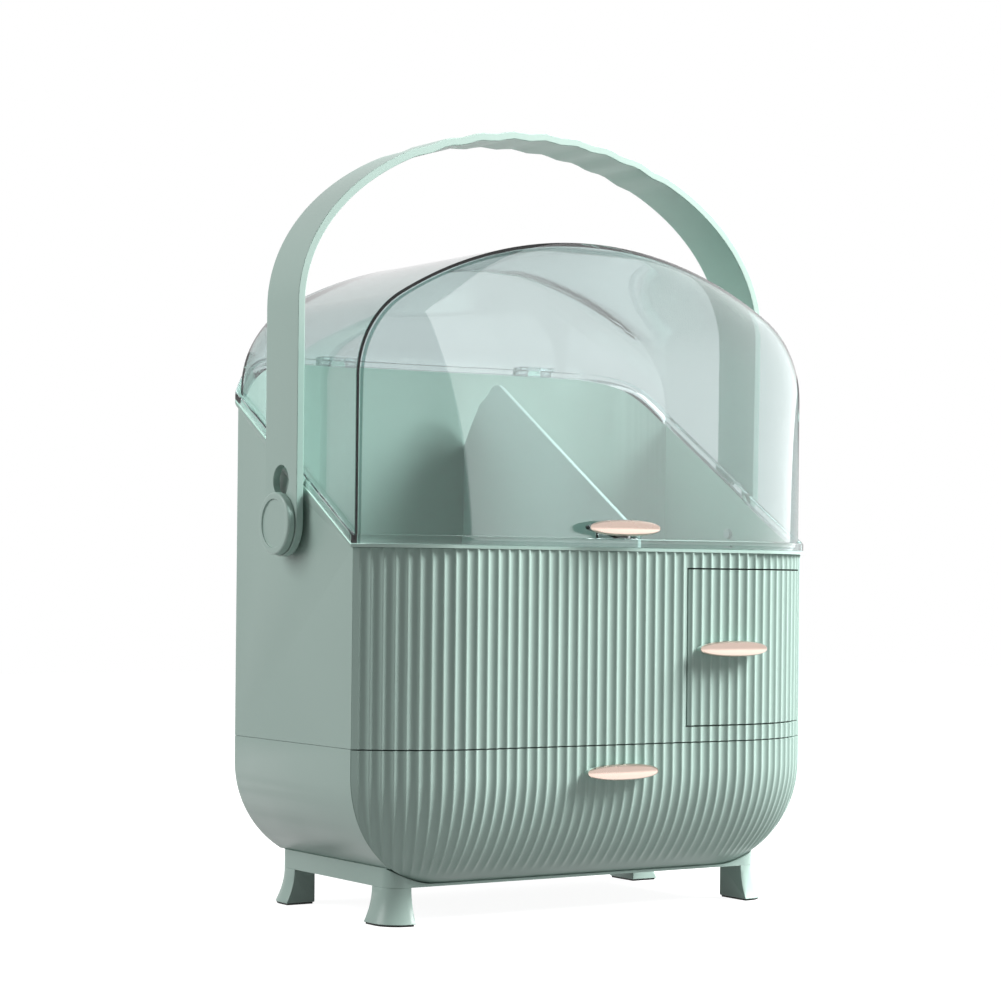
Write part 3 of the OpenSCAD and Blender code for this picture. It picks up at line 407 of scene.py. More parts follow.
# The crease line is painted shade: the plastic has the same tint there, and the dark line stands for the light
# that the crease turns away.
def with_painted_crease_shade(tree, amount, crease_y, crease_shade_w):
    """Adds a line of painted shade along the depth crease_y in front, which fades out crease_shade_w to each side.
    """
    place = new_node(tree, "ShaderNodeTexCoord", (-1300, -100)).outputs["Object"]
    split = new_node(tree, "ShaderNodeSeparateXYZ", (-1100, -100))
    tree.links.new(place, split.inputs[0])
    off = new_node(tree, "ShaderNodeMath", (-700, -100), operation="ADD")
    off.inputs[1].default_value = crease_y
    tree.links.new(split.outputs["Y"], off.inputs[0])
    gap = new_node(tree, "ShaderNodeMath", (-520, -100), operation="ABSOLUTE")
    tree.links.new(off.outputs[0], gap.inputs[0])
    crease = smooth_mask(tree, gap.outputs[0], crease_shade_w * CREASE_SHADE_CORE, crease_shade_w, (-340, -100))
    both = new_node(tree, "ShaderNodeMath", (-150, 100), operation="MAXIMUM")
    tree.links.new(amount, both.inputs[0])
    tree.links.new(crease, both.inputs[1])
    return both.outputs[0]


print("the crease is full dark over", CREASE_SHADE_CORE, "of its width")

# %% Clear finish
CLEAR_IOR = 1.49
CLEAR_ROUGHNESS = 0.02
GRAZING_BLEND, GRAZING_POWER = 0.35, 1.4
SHEET_TINT = (0.95, 0.98, 0.975)


def clear_plastic(name, crease_y=None, crease_shade_w=0.0):
    """Tinted clear plastic, with a painted line of shade along the crease where its depth is given."""
    material, shader = start_material(name)
    tree = material.node_tree
    shader.inputs["Transmission Weight"].default_value = 1.0
    shader.inputs["IOR"].default_value = CLEAR_IOR
    shader.inputs["Roughness"].default_value = CLEAR_ROUGHNESS
    weight = new_node(tree, "ShaderNodeLayerWeight", (-900, 200))
    weight.inputs["Blend"].default_value = GRAZING_BLEND
    grazing = new_node(tree, "ShaderNodeMath", (-700, 200), operation="POWER")
    grazing.inputs[1].default_value = GRAZING_POWER
    tree.links.new(weight.outputs["Facing"], grazing.inputs[0])
    amount = grazing.outputs[0]
    if crease_y is not None:
        amount = with_painted_crease_shade(tree, amount, crease_y, crease_shade_w)
    tint = new_node(tree, "ShaderNodeMix", (50, 100), data_type="RGBA")
    tint.inputs[6].default_value = (*LID_LIGHT, 1)
    tint.inputs[7].default_value = (*LID_DARK, 1)
    tree.links.new(amount, tint.inputs[0])
    tree.links.new(tint.outputs[2], shader.inputs["Base Color"])
    sheet = new_node(tree, "ShaderNodeBsdfTransparent", (300, -400))
    sheet.inputs["Color"].default_value = (*SHEET_TINT, 1)
    either = new_node(tree, "ShaderNodeMixShader", (650, 0))
    tree.links.new(sum_of_rays(tree, ("Is Shadow Ray", "Is Diffuse Ray"), (0, 500)), either.inputs[0])
    tree.links.new(shader.outputs[0], either.inputs[1])
    tree.links.new(sheet.outputs[0], either.inputs[2])
    out = [n for n in tree.nodes if n.type == "OUTPUT_MATERIAL"][0]
    tree.links.new(either.outputs[0], out.inputs["Surface"])
    return material


print("index of the clear plastic", CLEAR_IOR)

# %% [markdown]
# ## The outline that everything follows
# Seen from above, the case is a straight middle with a large circle at each end, cut off by two flat
# sides. Its bottom is rounded all round, with a wider radius under the front than under the sides. The
# outline could be read from the working model's points, but they are too coarse for fine flutes. A few
# functions say where it is at any depth below the surface instead, so the fronts and the lid come from the
# same few sizes as the model.

# %% Outline
lower_low, lower_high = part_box("lower_housing")
side_x = lower_high.x
bow_r = lower_high.y
bow_x = 83 * MM
curve_r = 56.4 * MM
front_r = 68.5 * MM
curve_drop = 8.6 * MM
curve_z = lower_low.z - curve_drop + curve_r


def corner_y(d):
    """Depth of the corner edge where the outline, inset by d, meets the flat side."""
    return math.sqrt((bow_r - d) ** 2 - (side_x - bow_x - d) ** 2)


def front_point(s, d):
    """Point of the bowed front at distance s along it, inset by d."""
    if abs(s) <= bow_x:
        return s, -(bow_r - d)
    a = (abs(s) - bow_x) / bow_r
    return math.copysign(bow_x + (bow_r - d) * math.sin(a), s), -(bow_r - d) * math.cos(a)


def corner_arc(d):
    """Distance along the front at which the outline, inset by d, meets the mitred corner."""
    return bow_x + bow_r * math.asin((side_x - bow_x - d) / (bow_r - d))


def round_inset(z, e, r):
    """Inset at height z of a surface that lies e inside a round-over of radius r."""
    if z >= curve_z:
        return e
    return r - math.sqrt(max(0.0, (r - e) ** 2 - (curve_z - z) ** 2))


def mitre(d):
    """Corner, seen from above, where the front inset by d meets the round-over of the side."""
    height = curve_z - math.sqrt(front_r ** 2 - (front_r - d) ** 2)
    x = side_x - round_inset(height, 0.0, curve_r)
    return x, -math.sqrt((bow_r - d) ** 2 - (x - bow_x) ** 2)


def flat_corner(d):
    """Corner, seen from above, where the front inset by d meets the flat side inset by d."""
    return side_x - d, -corner_y(d)


print("outline", round(side_x * 2, 4), "wide,", round(bow_r * 2, 4), "deep")

# %% Rim line
RIM_EARLY = 0.3 * MM
rim_y = corner_y(0) - RIM_EARLY
rim_z = 197 * MM
rim_slope = 0.62
rim_back_z = joint_at["lid_hinge"].z
rim_corner_z = rim_z + rim_slope * 2 * rim_y
rim_ease = 1.7


def rim(y):
    """Height of the body's rim at depth y."""
    if y <= -rim_y:
        return rim_z
    if y <= rim_y:
        return rim_z + rim_slope * (y + rim_y)
    left = 1 - min(1.0, (y - rim_y) / (bow_r - rim_y))
    return rim_back_z - (rim_back_z - rim_corner_z) * left ** rim_ease


LIP_DROP = 3.3 * MM
LIP_END = 0.88 * bow_r


def smooth_step(x):
    """0 below 0, 1 above 1 and an easy curve between."""
    x = min(1.0, max(0.0, x))
    return x * x * (3 - 2 * x)


def lip_part(y):
    """1 along the front and sides, where the lid's flange comes down over the rim, and 0 at the hinges."""
    return smooth_step((LIP_END - y) / (LIP_END - rim_y))


print("rim", round(rim_z, 4), "to", round(rim_back_z, 4))

# %% [markdown]
# ## Turning numbers into pieces
# Every piece ends the same way: a mesh with smooth shading, its finish, the body it rides on and the node
# it stands for. Moulded edges are never sharp. They could be rounded in the mesh itself, but a bevel keeps
# the mesh light and its width easy to change, and the normals of the flat faces are kept flat.

# %% Finishing a piece
EDGE_SEGMENTS = 2


def finish_piece(name, mesh, material, node, smooth_angle=35, bevel=0.0, bevel_angle=35):
    """Gives a mesh its shading, finish and edges, hangs the piece on its body and hides the node it stands for."""
    piece = bpy.data.objects.new(name, mesh)
    scene.collection.objects.link(piece)
    mesh.shade_smooth()
    mesh.set_sharp_from_angle(angle=math.radians(smooth_angle))
    mesh.materials.clear()
    mesh.materials.append(material)
    if bevel > 0:
        rounding = piece.modifiers.new("moulded_edges", "BEVEL")
        rounding.width = bevel
        rounding.segments = EDGE_SEGMENTS
        rounding.limit_method = "ANGLE"
        rounding.angle_limit = math.radians(bevel_angle)
        rounding.harden_normals = True
        rounding.use_clamp_overlap = True
    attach(piece, body_of[node])
    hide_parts(node)


print("edges have", EDGE_SEGMENTS, "segments")

# %% Softened copies and new meshes
COPY_WELD, MESH_WELD = 0.002 * MM, 0.004 * MM
FLAT_ANGLE = math.radians(0.3)


def softened(node, material, width, shape=None):
    """A copy of the node's own solid, welded, with its coplanar triangles joined and its edges rounded."""
    bm = bmesh.new()
    bm.from_mesh(frame["nodes"][node].data)
    bmesh.ops.remove_doubles(bm, verts=bm.verts, dist=COPY_WELD)
    if shape:
        for corner in bm.verts:
            corner.co = shape(corner.co)
    bmesh.ops.dissolve_limit(bm, angle_limit=FLAT_ANGLE, verts=bm.verts, edges=bm.edges)
    mesh = bpy.data.meshes.new(node + "_finished")
    bm.to_mesh(mesh)
    bm.free()
    finish_piece(node + "_finished", mesh, material, node, bevel=width)


def grid_faces(rows, cols, base=0, flip=False):
    """Quads of a grid of points that is stored row by row."""
    faces = []
    for i in range(rows - 1):
        for k in range(cols - 1):
            a = base + i * cols + k
            quad = (a, a + 1, a + cols + 1, a + cols)
            faces.append(quad[::-1] if flip else quad)
    return faces


def welded_mesh(name, points, faces, distance=MESH_WELD):
    """A mesh whose points closer than distance are joined and whose faces all look outwards."""
    mesh = bpy.data.meshes.new(name)
    mesh.from_pydata(points, [], faces)
    bm = bmesh.new()
    bm.from_mesh(mesh)
    bmesh.ops.remove_doubles(bm, verts=bm.verts, dist=distance)
    bmesh.ops.dissolve_degenerate(bm, edges=bm.edges, dist=distance)
    bmesh.ops.recalc_face_normals(bm, faces=bm.faces)
    bm.to_mesh(mesh)
    bm.free()
    return mesh


print("points closer than", MESH_WELD, "m are welded")

# %% [markdown]
# ## The reeded fronts
# The fronts are fluted: shallow hollow flutes, side by side, with a narrow rounded ridge left between two
# of them. The ridges stand 6.2 mm apart along the bow. A hollow flute is dark on the side that turns from
# the light and pale across from it, which makes the fine stripes. A bump map could draw them, but the
# outline at the seams would stay smooth, and the photo shows it notched. A row of cut cylinders would give
# the shape, but not the flutes that bend round the bottom. So the profile is a short formula of two arcs,
# laid out in columns along the bow.

# %% Flute profile
FLUTE_PITCH = 6.2 * MM
RIDGE = 0.24
FLUTE_BEND = 0.76
FLUTE_DEPTH = FLUTE_PITCH / 2 / FLUTE_BEND * (1 - math.sqrt(1 - FLUTE_BEND ** 2))
HALF_STEPS = (0.09, 0.18, 0.26, 0.33, 0.38, 0.40, 0.425, 0.45, 0.475)
FLUTE_STEPS = (-0.5,) + tuple(-u for u in reversed(HALF_STEPS)) + (0.0,) + HALF_STEPS


def arc_share(part):
    """Height of a round arc at a part of its half width, over its own height."""
    return (1 - math.sqrt(1 - (FLUTE_BEND * part) ** 2)) / (1 - math.sqrt(1 - FLUTE_BEND ** 2))


def flute_share(u):
    """Depth at u pitches from the middle of the nearest flute: a hollow arc, then half a rounded ridge."""
    ridge_half = RIDGE / 2
    flute_half = 0.5 - ridge_half
    if abs(u) <= flute_half:
        return 1 - 2 * flute_half * arc_share(abs(u) / flute_half)
    return 2 * ridge_half * arc_share((0.5 - abs(u)) / ridge_half)


print("flutes", round(FLUTE_DEPTH, 5), "m deep")

# %% Flute columns
END_MARGIN = 0.45
LAST_STEP = 0.025
arc_total = corner_arc(0)
flute_count = 2 * math.floor((arc_total - END_MARGIN * FLUTE_PITCH) / FLUTE_PITCH + 0.5)


def flute_columns():
    """Distances along the front with the flute share at each, from the left corner to the right one."""
    columns = [(-arc_total, 0.0)]
    for j in range(flute_count):
        middle = (j - (flute_count - 1) / 2) * FLUTE_PITCH
        for u in FLUTE_STEPS:
            columns.append((middle + u * FLUTE_PITCH, flute_share(u)))
    columns.append((columns[-1][0] + LAST_STEP * FLUTE_PITCH, 0.0))
    columns.append((arc_total, 0.0))
    return columns


FLUTE_COLUMNS = flute_columns()
print(flute_count, "flutes,", len(FLUTE_COLUMNS), "columns")

# %% [markdown]
# ## Two skins for every front
# A front is a thin moulded panel. Solidify could thicken one skin, but it would bend the inside along with
# the flutes, and a real panel is smooth behind. So a front is made as two skins, the fluted one and a
# smooth one behind it, on one table of columns and rows. Cells inside a cut-out are left out, and the rim
# of what remains is closed with walls. The corners are mitred: a front stops where it meets the flat side.

# %% Points of a skin
NEAR_CORNER = 0.05 * MM
CORNER_SHARE = 0.4


def skin_point(s, share, d, depth, z, corner):
    """Point of a skin: clipped to the mitred corner where the column lies past it."""
    corner_x, corner_depth = corner(d)
    left = bow_x + bow_r * math.asin((corner_x - bow_x) / (bow_r - d)) - abs(s)
    if left <= NEAR_CORNER:
        return math.copysign(corner_x, s), corner_depth, z
    x, y = front_point(s, d + min(share * depth, CORNER_SHARE * left))
    return x, y, z


def point_behind(s, d, z, corner):
    """Point of an upright inside skin straight behind the outside, so a cut-out gets straight sides."""
    corner_x, corner_depth = corner(d)
    x = front_point(s, 0.0)[0]
    if abs(x) >= corner_x:
        return math.copysign(corner_x, s), corner_depth, z
    return x, -math.sqrt((bow_r - d) ** 2 - max(0.0, abs(x) - bow_x) ** 2), z


print("upper corner at", [round(v, 4) for v in flat_corner(0)])

# %% Closed panel
def two_skins(name, columns, rows, keep=lambda s, z: True, corner=flat_corner, upright=False):
    """A closed panel. Each row is (z, inset of the outside, flute depth, inset of the inside)."""
    n = len(columns)
    outer, inner = [], []
    for z, d, depth, back in rows:
        for s, share in columns:
            outer.append(skin_point(s, share, d, depth, z, corner))
            if upright:
                inner.append(point_behind(s, back, z, corner))
            else:
                inner.append(skin_point(s, 0.0, back, 0.0, z, corner))
    count = len(outer)
    kept = set()
    for i in range(len(rows) - 1):
        for k in range(n - 1):
            if keep((columns[k][0] + columns[k + 1][0]) / 2, (rows[i][0] + rows[i + 1][0]) / 2):
                kept.add((i, k))
    faces = []
    for i, k in kept:
        a, b, c, d = i * n + k, i * n + k + 1, (i + 1) * n + k + 1, (i + 1) * n + k
        faces.append((a, b, c, d))
        faces.append((d + count, c + count, b + count, a + count))
        for near, p, q in (((i - 1, k), a, b), ((i, k + 1), b, c), ((i + 1, k), c, d), ((i, k - 1), d, a)):
            if near not in kept:
                faces.append((p, p + count, q + count, q))
    return welded_mesh(name, outer + inner, faces)


def finish_front(name, mesh, node):
    """The ridges are shaded smooth, and only the panel's own edges are rounded by a bevel."""
    finish_piece(name, mesh, sage, node, smooth_angle=60, bevel=0.3 * MM, bevel_angle=70)
    print(name, "has", len(mesh.polygons), "faces")


print("fronts are finished in", sage.name)

# %% Marks for the cut-out
fascia_low, fascia_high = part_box("front_fascia")
small_low, small_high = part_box("small_drawer_front")
FRONT_GAP = 0.8 * MM
FASCIA_T = 2.8 * MM
MARK_ROOM = 0.12 * MM
cut_x0, cut_x1 = small_low.x - FRONT_GAP, small_high.x + FRONT_GAP
cut_z0, cut_z1 = small_low.z - FRONT_GAP, small_high.z + FRONT_GAP


def along(x):
    """Distance along the bowed front to the place at x."""
    if abs(x) <= bow_x:
        return x
    return math.copysign(bow_x + bow_r * math.asin((abs(x) - bow_x) / bow_r), x)


def with_marks(columns, marks):
    """Adds a column at each mark, with the flute share that the front has there."""
    added = list(columns)
    for s in marks:
        u = (s / FLUTE_PITCH + (flute_count - 1) / 2) % 1.0
        u = u if u <= 0.5 else u - 1
        added = [c for c in added if abs(c[0] - s) >= MARK_ROOM]
        added.append((s, flute_share(u)))
    return sorted(added)


print("cut-out", round(cut_x1 - cut_x0, 4), "by", round(cut_z1 - cut_z0, 4))

# %% Upper front
cut_s0, cut_s1 = along(cut_x0), along(cut_x1)
upper_columns = with_marks(FLUTE_COLUMNS, (cut_s0, cut_s1))
upper_rows = [(z, 0.0, FLUTE_DEPTH, FASCIA_T) for z in (fascia_low.z, cut_z0, cut_z1, fascia_high.z)]


def outside_cut(s, z):
    """True for the cells that the cut-out leaves standing."""
    return not (cut_s0 < s < cut_s1 and cut_z0 < z < cut_z1)


fascia = two_skins("reeded_upper_front", upper_columns, upper_rows, outside_cut, upright=True)
finish_front("reeded_upper_front", fascia, "front_fascia")

# %% Small drawer front
small_s0, small_s1 = along(small_low.x), along(small_high.x)
marked = with_marks(FLUTE_COLUMNS, (small_s0, small_s1))
small_columns = [c for c in marked if small_s0 <= c[0] <= small_s1]
small_rows = [(z, 0.0, FLUTE_DEPTH, FASCIA_T) for z in (small_low.z, small_high.z)]
small_front = two_skins("reeded_small_front", small_columns, small_rows, upright=True)
finish_front("reeded_small_front", small_front, "small_drawer_front")

# %% [markdown]
# ## The front that runs round the bottom
# On the big drawer the flutes follow the rounded bottom and die out just above its edge, and both corners
# are mitred, because the front's radius is larger than the side's. Bending a flat panel with a modifier
# would stretch the flutes. Here every row gives its own height, its inset on the round-over and its flute
# depth, so the same columns serve for the whole front.

# %% Big drawer front
big_low, big_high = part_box("big_drawer_front")
SKIN_T = 3.2 * MM
FADE_Z0, FADE_Z1 = 24 * MM, 33 * MM
BIG_ROWS = 44
SEAM_LIFT = 0.45 * MM


def big_rows():
    """Rows from the seam down and round the bottom, where the flutes fade out near the edge."""
    rows = [(big_high.z + SEAM_LIFT, 0.0, FLUTE_DEPTH, SKIN_T)]
    last = math.asin((curve_z - big_low.z) / front_r)
    for i in range(BIG_ROWS + 1):
        z = curve_z - front_r * math.sin(last * i / BIG_ROWS)
        fade = smooth_step((z - FADE_Z0) / (FADE_Z1 - FADE_Z0))
        rows.append((z, round_inset(z, 0.0, front_r), FLUTE_DEPTH * fade, round_inset(z, SKIN_T, front_r)))
    return rows


big_front = two_skins("reeded_big_front", FLUTE_COLUMNS, big_rows(), corner=mitre)
finish_front("reeded_big_front", big_front, "big_drawer_front")

# %% [markdown]
# ## The clear domed lid
# The lid is an arch with bulging ends. Its ends bow like the body below and lean back to a crease where
# they meet the arch. A box with subdivision would give a soft lump without the crease, which is the lid's
# clearest line. So it is made as an outside and an inside, each of two domed ends, two flat sides and the
# arch, on the same points along their shared edges, and a flange that follows the slanted rim closes it.

# %% Lid sizes
LID_T = 2.2 * MM
LID_IN = 1.3 * MM
FLANGE_GAP = 0.2 * MM
FLANGE_T = 3.2 * MM
FLANGE_TALL = 4.5 * MM
LIP_OUT = 1.6 * MM
SHOULDER_R = 51.5 * MM
CROWN_R = 230 * MM
SHOULDER_RISE = 0.4 * MM
lid_x = side_x - LID_IN
shoulder_z = rim_corner_z + FLANGE_GAP + FLANGE_T + SHOULDER_RISE
crown_a = math.asin((lid_x - SHOULDER_R) / (CROWN_R - SHOULDER_R))
crown_c = shoulder_z - (CROWN_R - SHOULDER_R) * math.cos(crown_a)
SHOULDER_ROWS, CROWN_ROWS, LOW_ROWS, LID_COLS, SPAN_COLS = 22, 22, 14, 72, 8
print("lid top", round(crown_c + CROWN_R, 4))


# %% Flange heights and the arch
def flange_low(y):
    """Height of the flange's underside at depth y."""
    return rim(y) + FLANGE_GAP - LIP_DROP * lip_part(y)


def flange_high(y):
    """Height of the flange's top at depth y."""
    return flange_low(y) + FLANGE_T + (FLANGE_TALL - FLANGE_T) * lip_part(y)


def arch(e):
    """Half widths and heights from the start of the shoulder to the top, e inside the outside."""
    points = []
    r = SHOULDER_R - e
    for i in range(SHOULDER_ROWS + 1):
        a = math.pi / 2 - (math.pi / 2 - crown_a) * i / SHOULDER_ROWS
        points.append((lid_x - SHOULDER_R + r * math.sin(a), shoulder_z + r * math.cos(a)))
    for i in range(1, CROWN_ROWS + 1):
        a = crown_a * (1 - i / CROWN_ROWS)
        points.append(((CROWN_R - e) * math.sin(a), crown_c + (CROWN_R - e) * math.cos(a)))
    return points


print("flange", round(flange_low(-bow_r), 4), "to", round(flange_high(-bow_r), 4), "in front")


# %% Domed ends
def bow_part(t, d):
    """How far a bowed end stands out at part t of the half width, 1 in the straight middle."""
    x, r, c = abs(t) * (side_x - d), bow_r - d, corner_y(d)
    if x <= bow_x:
        return 1.0
    return (math.sqrt(max(0.0, r * r - (x - bow_x) ** 2)) - c) / (r - c)


COLUMN_LEAN = math.radians(80)


def lid_col(k):
    """Columns lie closer together towards the corners."""
    return math.sin(COLUMN_LEAN * (2 * k / LID_COLS - 1)) / math.sin(COLUMN_LEAN)


def dome_point(side, e, z_side, w, t, foot):
    """Point of a domed end at part t of the half width w, in the row that is z_side high at the side."""
    d, top = LID_IN + e, crown_c + CROWN_R - e
    c, deep, s = corner_y(d), bow_r - d - corner_y(d), bow_part(t, d)
    zb, zc, zm = foot(side * (c + deep * s)), foot(side * c), foot(side * (bow_r - d))
    z = zb + (z_side - zc) * (top - zb) / (top - zc)
    lean = 1.0 if z <= zm else 1 - ((z - zm) / (top - zm)) ** 2
    return w * t, side * (c + deep * lean * s), z


print("columns", [round(lid_col(k), 3) for k in (0, 1, 2)], "and on")


# %% Skins of the lid
def lid_shell_points(e, foot, flip):
    """Points and faces of the outside (e = 0) or of the inside of the lid."""
    points, faces = [], []
    c = corner_y(LID_IN + e)
    curve = arch(e)
    z_front, z_back = foot(-c), foot(c)

    def add_grid(rows, reverse):
        base = len(points)
        for row in rows:
            points.extend(row)
        faces.extend(grid_faces(len(rows), len(rows[0]), base, reverse))

    low = [(lid_x - e, z_front + (shoulder_z - z_front) * i / LOW_ROWS) for i in range(LOW_ROWS)]
    for side, rows in ((-1, low + curve), (1, [(lid_x - e, z_back)] + curve)):
        grid = [[dome_point(side, e, z, w, lid_col(k), foot) for k in range(LID_COLS + 1)] for w, z in rows]
        add_grid(grid, (side > 0) != flip)
    depths = [-c + 2 * c * k / SPAN_COLS for k in range(SPAN_COLS + 1)]
    feet = [z_front + (z_back - z_front) * (y + c) / (2 * c) for y in depths]
    for s in (-1, 1):
        add_grid([[(s * w, y, z) for y in depths] for w, z in curve], (s < 0) == flip)
        wall = [[(s * (lid_x - e), y, z + (shoulder_z - z) * i / LOW_ROWS) for y, z in zip(depths, feet)]
                for i in range(LOW_ROWS + 1)]
        add_grid(wall, (s < 0) == flip)
    return points, faces


print("outside has", len(lid_shell_points(0.0, flange_high, False)[0]), "points before welding")


# %% Flange
FLANGE_ROUND = 0.7 * MM
UNDER_ROUND = 0.6 * FLANGE_ROUND


def rim_loop(d, foot, dz=0.0):
    """Closed loop round the rim, inset by d, at dz above the height that foot gives."""
    c, deep = corner_y(d), bow_r - d - corner_y(d)
    loop = []
    for side in (-1, 1):
        for k in range(LID_COLS + 1):
            t = lid_col(k if side < 0 else LID_COLS - k)
            y = side * (c + deep * bow_part(t, d))
            loop.append((t * (side_x - d), y, foot(y) + dz))
        for k in range(1, SPAN_COLS):
            y = side * (c - 2 * c * k / SPAN_COLS)
            z = foot(-c) + (foot(c) - foot(-c)) * (y + c) / (2 * c)
            loop.append((-side * (side_x - d), y, z + dz))
    return loop


def flange_strip():
    """Loops from the foot of the outside wall, over the flange's rounded edge, to the inside wall."""
    loops = [rim_loop(LID_IN, flange_high)]
    for a in (90, 60, 30, 0):
        out = FLANGE_ROUND * (1 - math.cos(math.radians(a)))
        drop = FLANGE_ROUND * (1 - math.sin(math.radians(a)))
        loops.append(rim_loop(-LIP_OUT + out, flange_high, -drop))
    for a in (0, 45, 90):
        out = UNDER_ROUND * (1 - math.cos(math.radians(a)))
        rise = UNDER_ROUND * (1 - math.sin(math.radians(a)))
        loops.append(rim_loop(-LIP_OUT + out, flange_low, rise))
    loops.append(rim_loop(LID_IN + LID_T, flange_low))
    return loops


print(len(flange_strip()), "loops round the flange")

# %% Lid mesh
LID_WELD = 0.02 * MM
CREASE_IN, CREASE_SHADE_W = 0.2 * MM, 0.65 * MM


def lid_mesh():
    """Outside, inside and flange of the lid, welded together."""
    points, faces = lid_shell_points(0.0, flange_high, False)
    more, more_faces = lid_shell_points(LID_T, flange_low, True)
    faces += [tuple(v + len(points) for v in f) for f in more_faces]
    points += more
    loops = flange_strip()
    n = len(loops[0])
    base = len(points)
    for loop in loops:
        points += loop
    for i in range(len(loops) - 1):
        for k in range(n):
            a, b = base + i * n + k, base + i * n + (k + 1) % n
            faces.append((a, b, b + n, a + n))
    return welded_mesh("clear_lid", points, faces, LID_WELD)


lid = lid_mesh()
clear = clear_plastic("clear_green_plastic")
# The lid's material carries the painted shade along the front crease.
clear_lid = clear_plastic("clear_green_lid", corner_y(LID_IN) - CREASE_IN, CREASE_SHADE_W)
finish_piece("clear_lid", lid, clear_lid, "lid_shell", smooth_angle=28)
print("lid", len(lid.polygons), "faces")

# %% [markdown]
# ## Pulls
# Each pull is a long shallow oval, domed like half a spindle, with a fine rim. A scaled sphere would be
# close, but its edge would be a knife edge. So rings of one oval outline step up the rim and then over the
# dome.

# %% Pulls
PULL_RINGS, PULL_STEPS = 20, 96
PULL_EDGE = 0.9 * MM
DOME_FOOT, DOME_START = 0.98, 0.975
RIM_STEPS = ((1.0, 0.0), (1.0, 0.35), (0.995, 0.6), (DOME_FOOT, 0.8))
SIDE_POWER, END_POWER = 0.92, 0.86


def pull_mesh(node):
    """A domed oval that fills the node's box: full height in the middle and rounded at both ends."""
    low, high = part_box(node)
    middle = (low + high) / 2
    half_l, half_h, deep = (high.x - low.x) / 2, (high.z - low.z) / 2, high.y - low.y
    points, faces = [], []
    profile = [(r, part * PULL_EDGE) for r, part in RIM_STEPS]
    rim_top = profile[-1][1]
    for i in range(PULL_RINGS):
        r = DOME_START * (1 - i / PULL_RINGS)
        profile.append((r, rim_top + (deep - rim_top) * math.sqrt(1 - (r / DOME_FOOT) ** 2)))
    profile.append((0.0, deep))
    for r, out in profile:
        for k in range(PULL_STEPS):
            a = 2 * math.pi * k / PULL_STEPS
            c, s = math.cos(a), math.sin(a)
            x = half_l * math.copysign(abs(c) ** SIDE_POWER, c)
            z = half_h * math.copysign(abs(s) ** END_POWER, s)
            points.append((middle.x + x * r, high.y - out, middle.z + z * r))
    rows = len(profile)
    for i in range(rows - 1):
        for k in range(PULL_STEPS):
            a, b = i * PULL_STEPS + k, i * PULL_STEPS + (k + 1) % PULL_STEPS
            faces.append((a, b, b + PULL_STEPS, a + PULL_STEPS))
    faces.append(tuple(range(PULL_STEPS))[::-1])
    return welded_mesh(node + "_plated", points, faces)


PULLS = ("lid_pull_cap", "big_drawer_pull_cap", "small_drawer_pull_cap")
for node in PULLS:
    finish_piece(node + "_plated", pull_mesh(node), rose_gold, node, smooth_angle=50)
print(len(PULLS), "pulls")

# %% [markdown]
# ## Everything else keeps its solid
# The housings, trays, base, handle and hinges already have the right form in the working model. They could
# be made again from formulas, but a copy is simpler and always fits. Each copy gets rounded edges, as a
# mould gives them, and the right finish. Three places are eased on the copies: the rim sits lower under
# the lid's flange, the round pads at the pivots get a sloped edge, and the web under the lid's pull
# reaches down to the flange.

# %% Shapes that are eased
RIM_REACH = 0.5 * MM
PAD_OUT, PAD_SLOPE = 0.3 * MM, 5.5 * MM
PAD_RING = (24 * MM, 28 * MM)
WEB_REACH, WEB_DROP = 0.3 * MM, 2.0 * MM
pivot_at = joint_at["handle_pivot"]
web_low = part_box("lid_pull_boss")[0].z


def eased_housing(co):
    """Brings the rim down under the lid's flange, and slopes the edge of the round pads at the pivots."""
    if abs(co.z - rim(co.y)) < RIM_REACH:
        return Vector((co.x, co.y, co.z - LIP_DROP * lip_part(co.y)))
    out = Vector((co.y - pivot_at.y, co.z - pivot_at.z))
    if abs(co.x) > side_x + PAD_OUT and PAD_RING[0] < out.length < PAD_RING[1]:
        out *= 1 - PAD_SLOPE / out.length
        return Vector((co.x, pivot_at.y + out.x, pivot_at.z + out.y))
    return co


def eased_web(co):
    """Lets the clear web under the lid's pull reach down to the flange."""
    return Vector((co.x, co.y, co.z - WEB_DROP)) if co.z < web_low + WEB_REACH else co


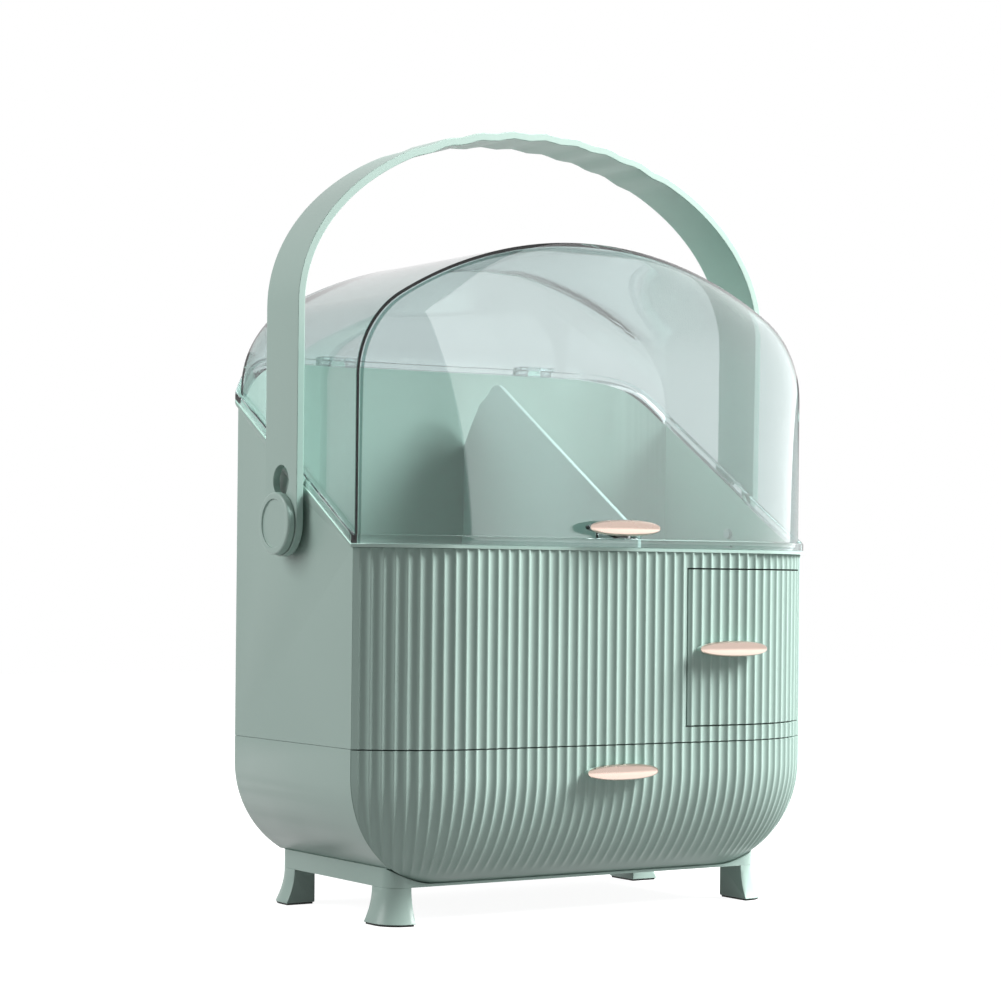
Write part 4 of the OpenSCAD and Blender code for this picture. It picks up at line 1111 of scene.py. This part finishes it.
SHAPES = {"upper_housing": eased_housing, "lid_pull_boss": eased_web}
print("pivot", [round(v, 4) for v in pivot_at], "web from", round(web_low, 4))

# %% Softened pieces
SOFT_EDGES = {
    "upper_housing": (sage, 0.5), "lower_housing": (sage, 0.5), "base_frame": (sage, 0.6),
    "handle": (sage, 0.45), "foot_front_left": (sage, 0.4), "foot_front_right": (sage, 0.4),
    "foot_back_left": (sage, 0.4), "foot_back_right": (sage, 0.4), "pivot_knob_left": (sage, 0.4),
    "pivot_knob_right": (sage, 0.4), "top_divider": (divider_lit_sage, 0.6),
    "big_drawer_tray": (deep_sage, 0.4), "small_drawer_tray": (deep_sage, 0.4),
    "big_drawer_pull_base": (sage, 0.3), "small_drawer_pull_base": (sage, 0.3), "foot_pads": (rubber, 0.2),
    "lid_hinge_left": (clear, 0.25), "lid_hinge_right": (clear, 0.25), "lid_pull_boss": (clear, 0.3),
    "hinge_pin_left": (steel, 0.2), "hinge_pin_right": (steel, 0.2), "base_screws": (steel, 0.2),
    "housing_screws": (steel, 0.2), "pivot_screws": (steel, 0.2)}
for node, (material, width) in SOFT_EDGES.items():
    softened(node, material, width * MM, shape=SHAPES.get(node))
print(len(SOFT_EDGES), "softened pieces")

# %% [markdown]
# ## What the clear and the plated pieces mirror
# The box on the right is bright and small, so the lid would mirror it as a hard white patch. A studio
# hangs a large diffuser there instead, which could be modelled as a sheet, but then it would dim the light
# on the case. Here the bright box is kept off the lid and the pulls, and a large weak box stands in for
# the diffuser: only the lid sees it, as a soft pale veil. The pulls mirror the white room.

# %% Mirrored boxes
def lamp_group(name, lamp, pieces, state):
    """Lets a lamp light only the named pieces (INCLUDE), or everything but them (EXCLUDE)."""
    group = bpy.data.collections.new(name)
    for piece in pieces:
        group.objects.link(bpy.data.objects[piece])
    lamp.light_linking.receiver_collection = group
    for item in group.collection_objects:
        item.light_linking.link_state = state


plated = [node + "_plated" for node in PULLS]
lamp_group("not_for_the_bright_box", key, ["clear_lid"] + plated, "EXCLUDE")
lamp_group("for_the_veil", veil, ["clear_lid"], "INCLUDE")
print("bright box kept off", 1 + len(plated), "pieces")
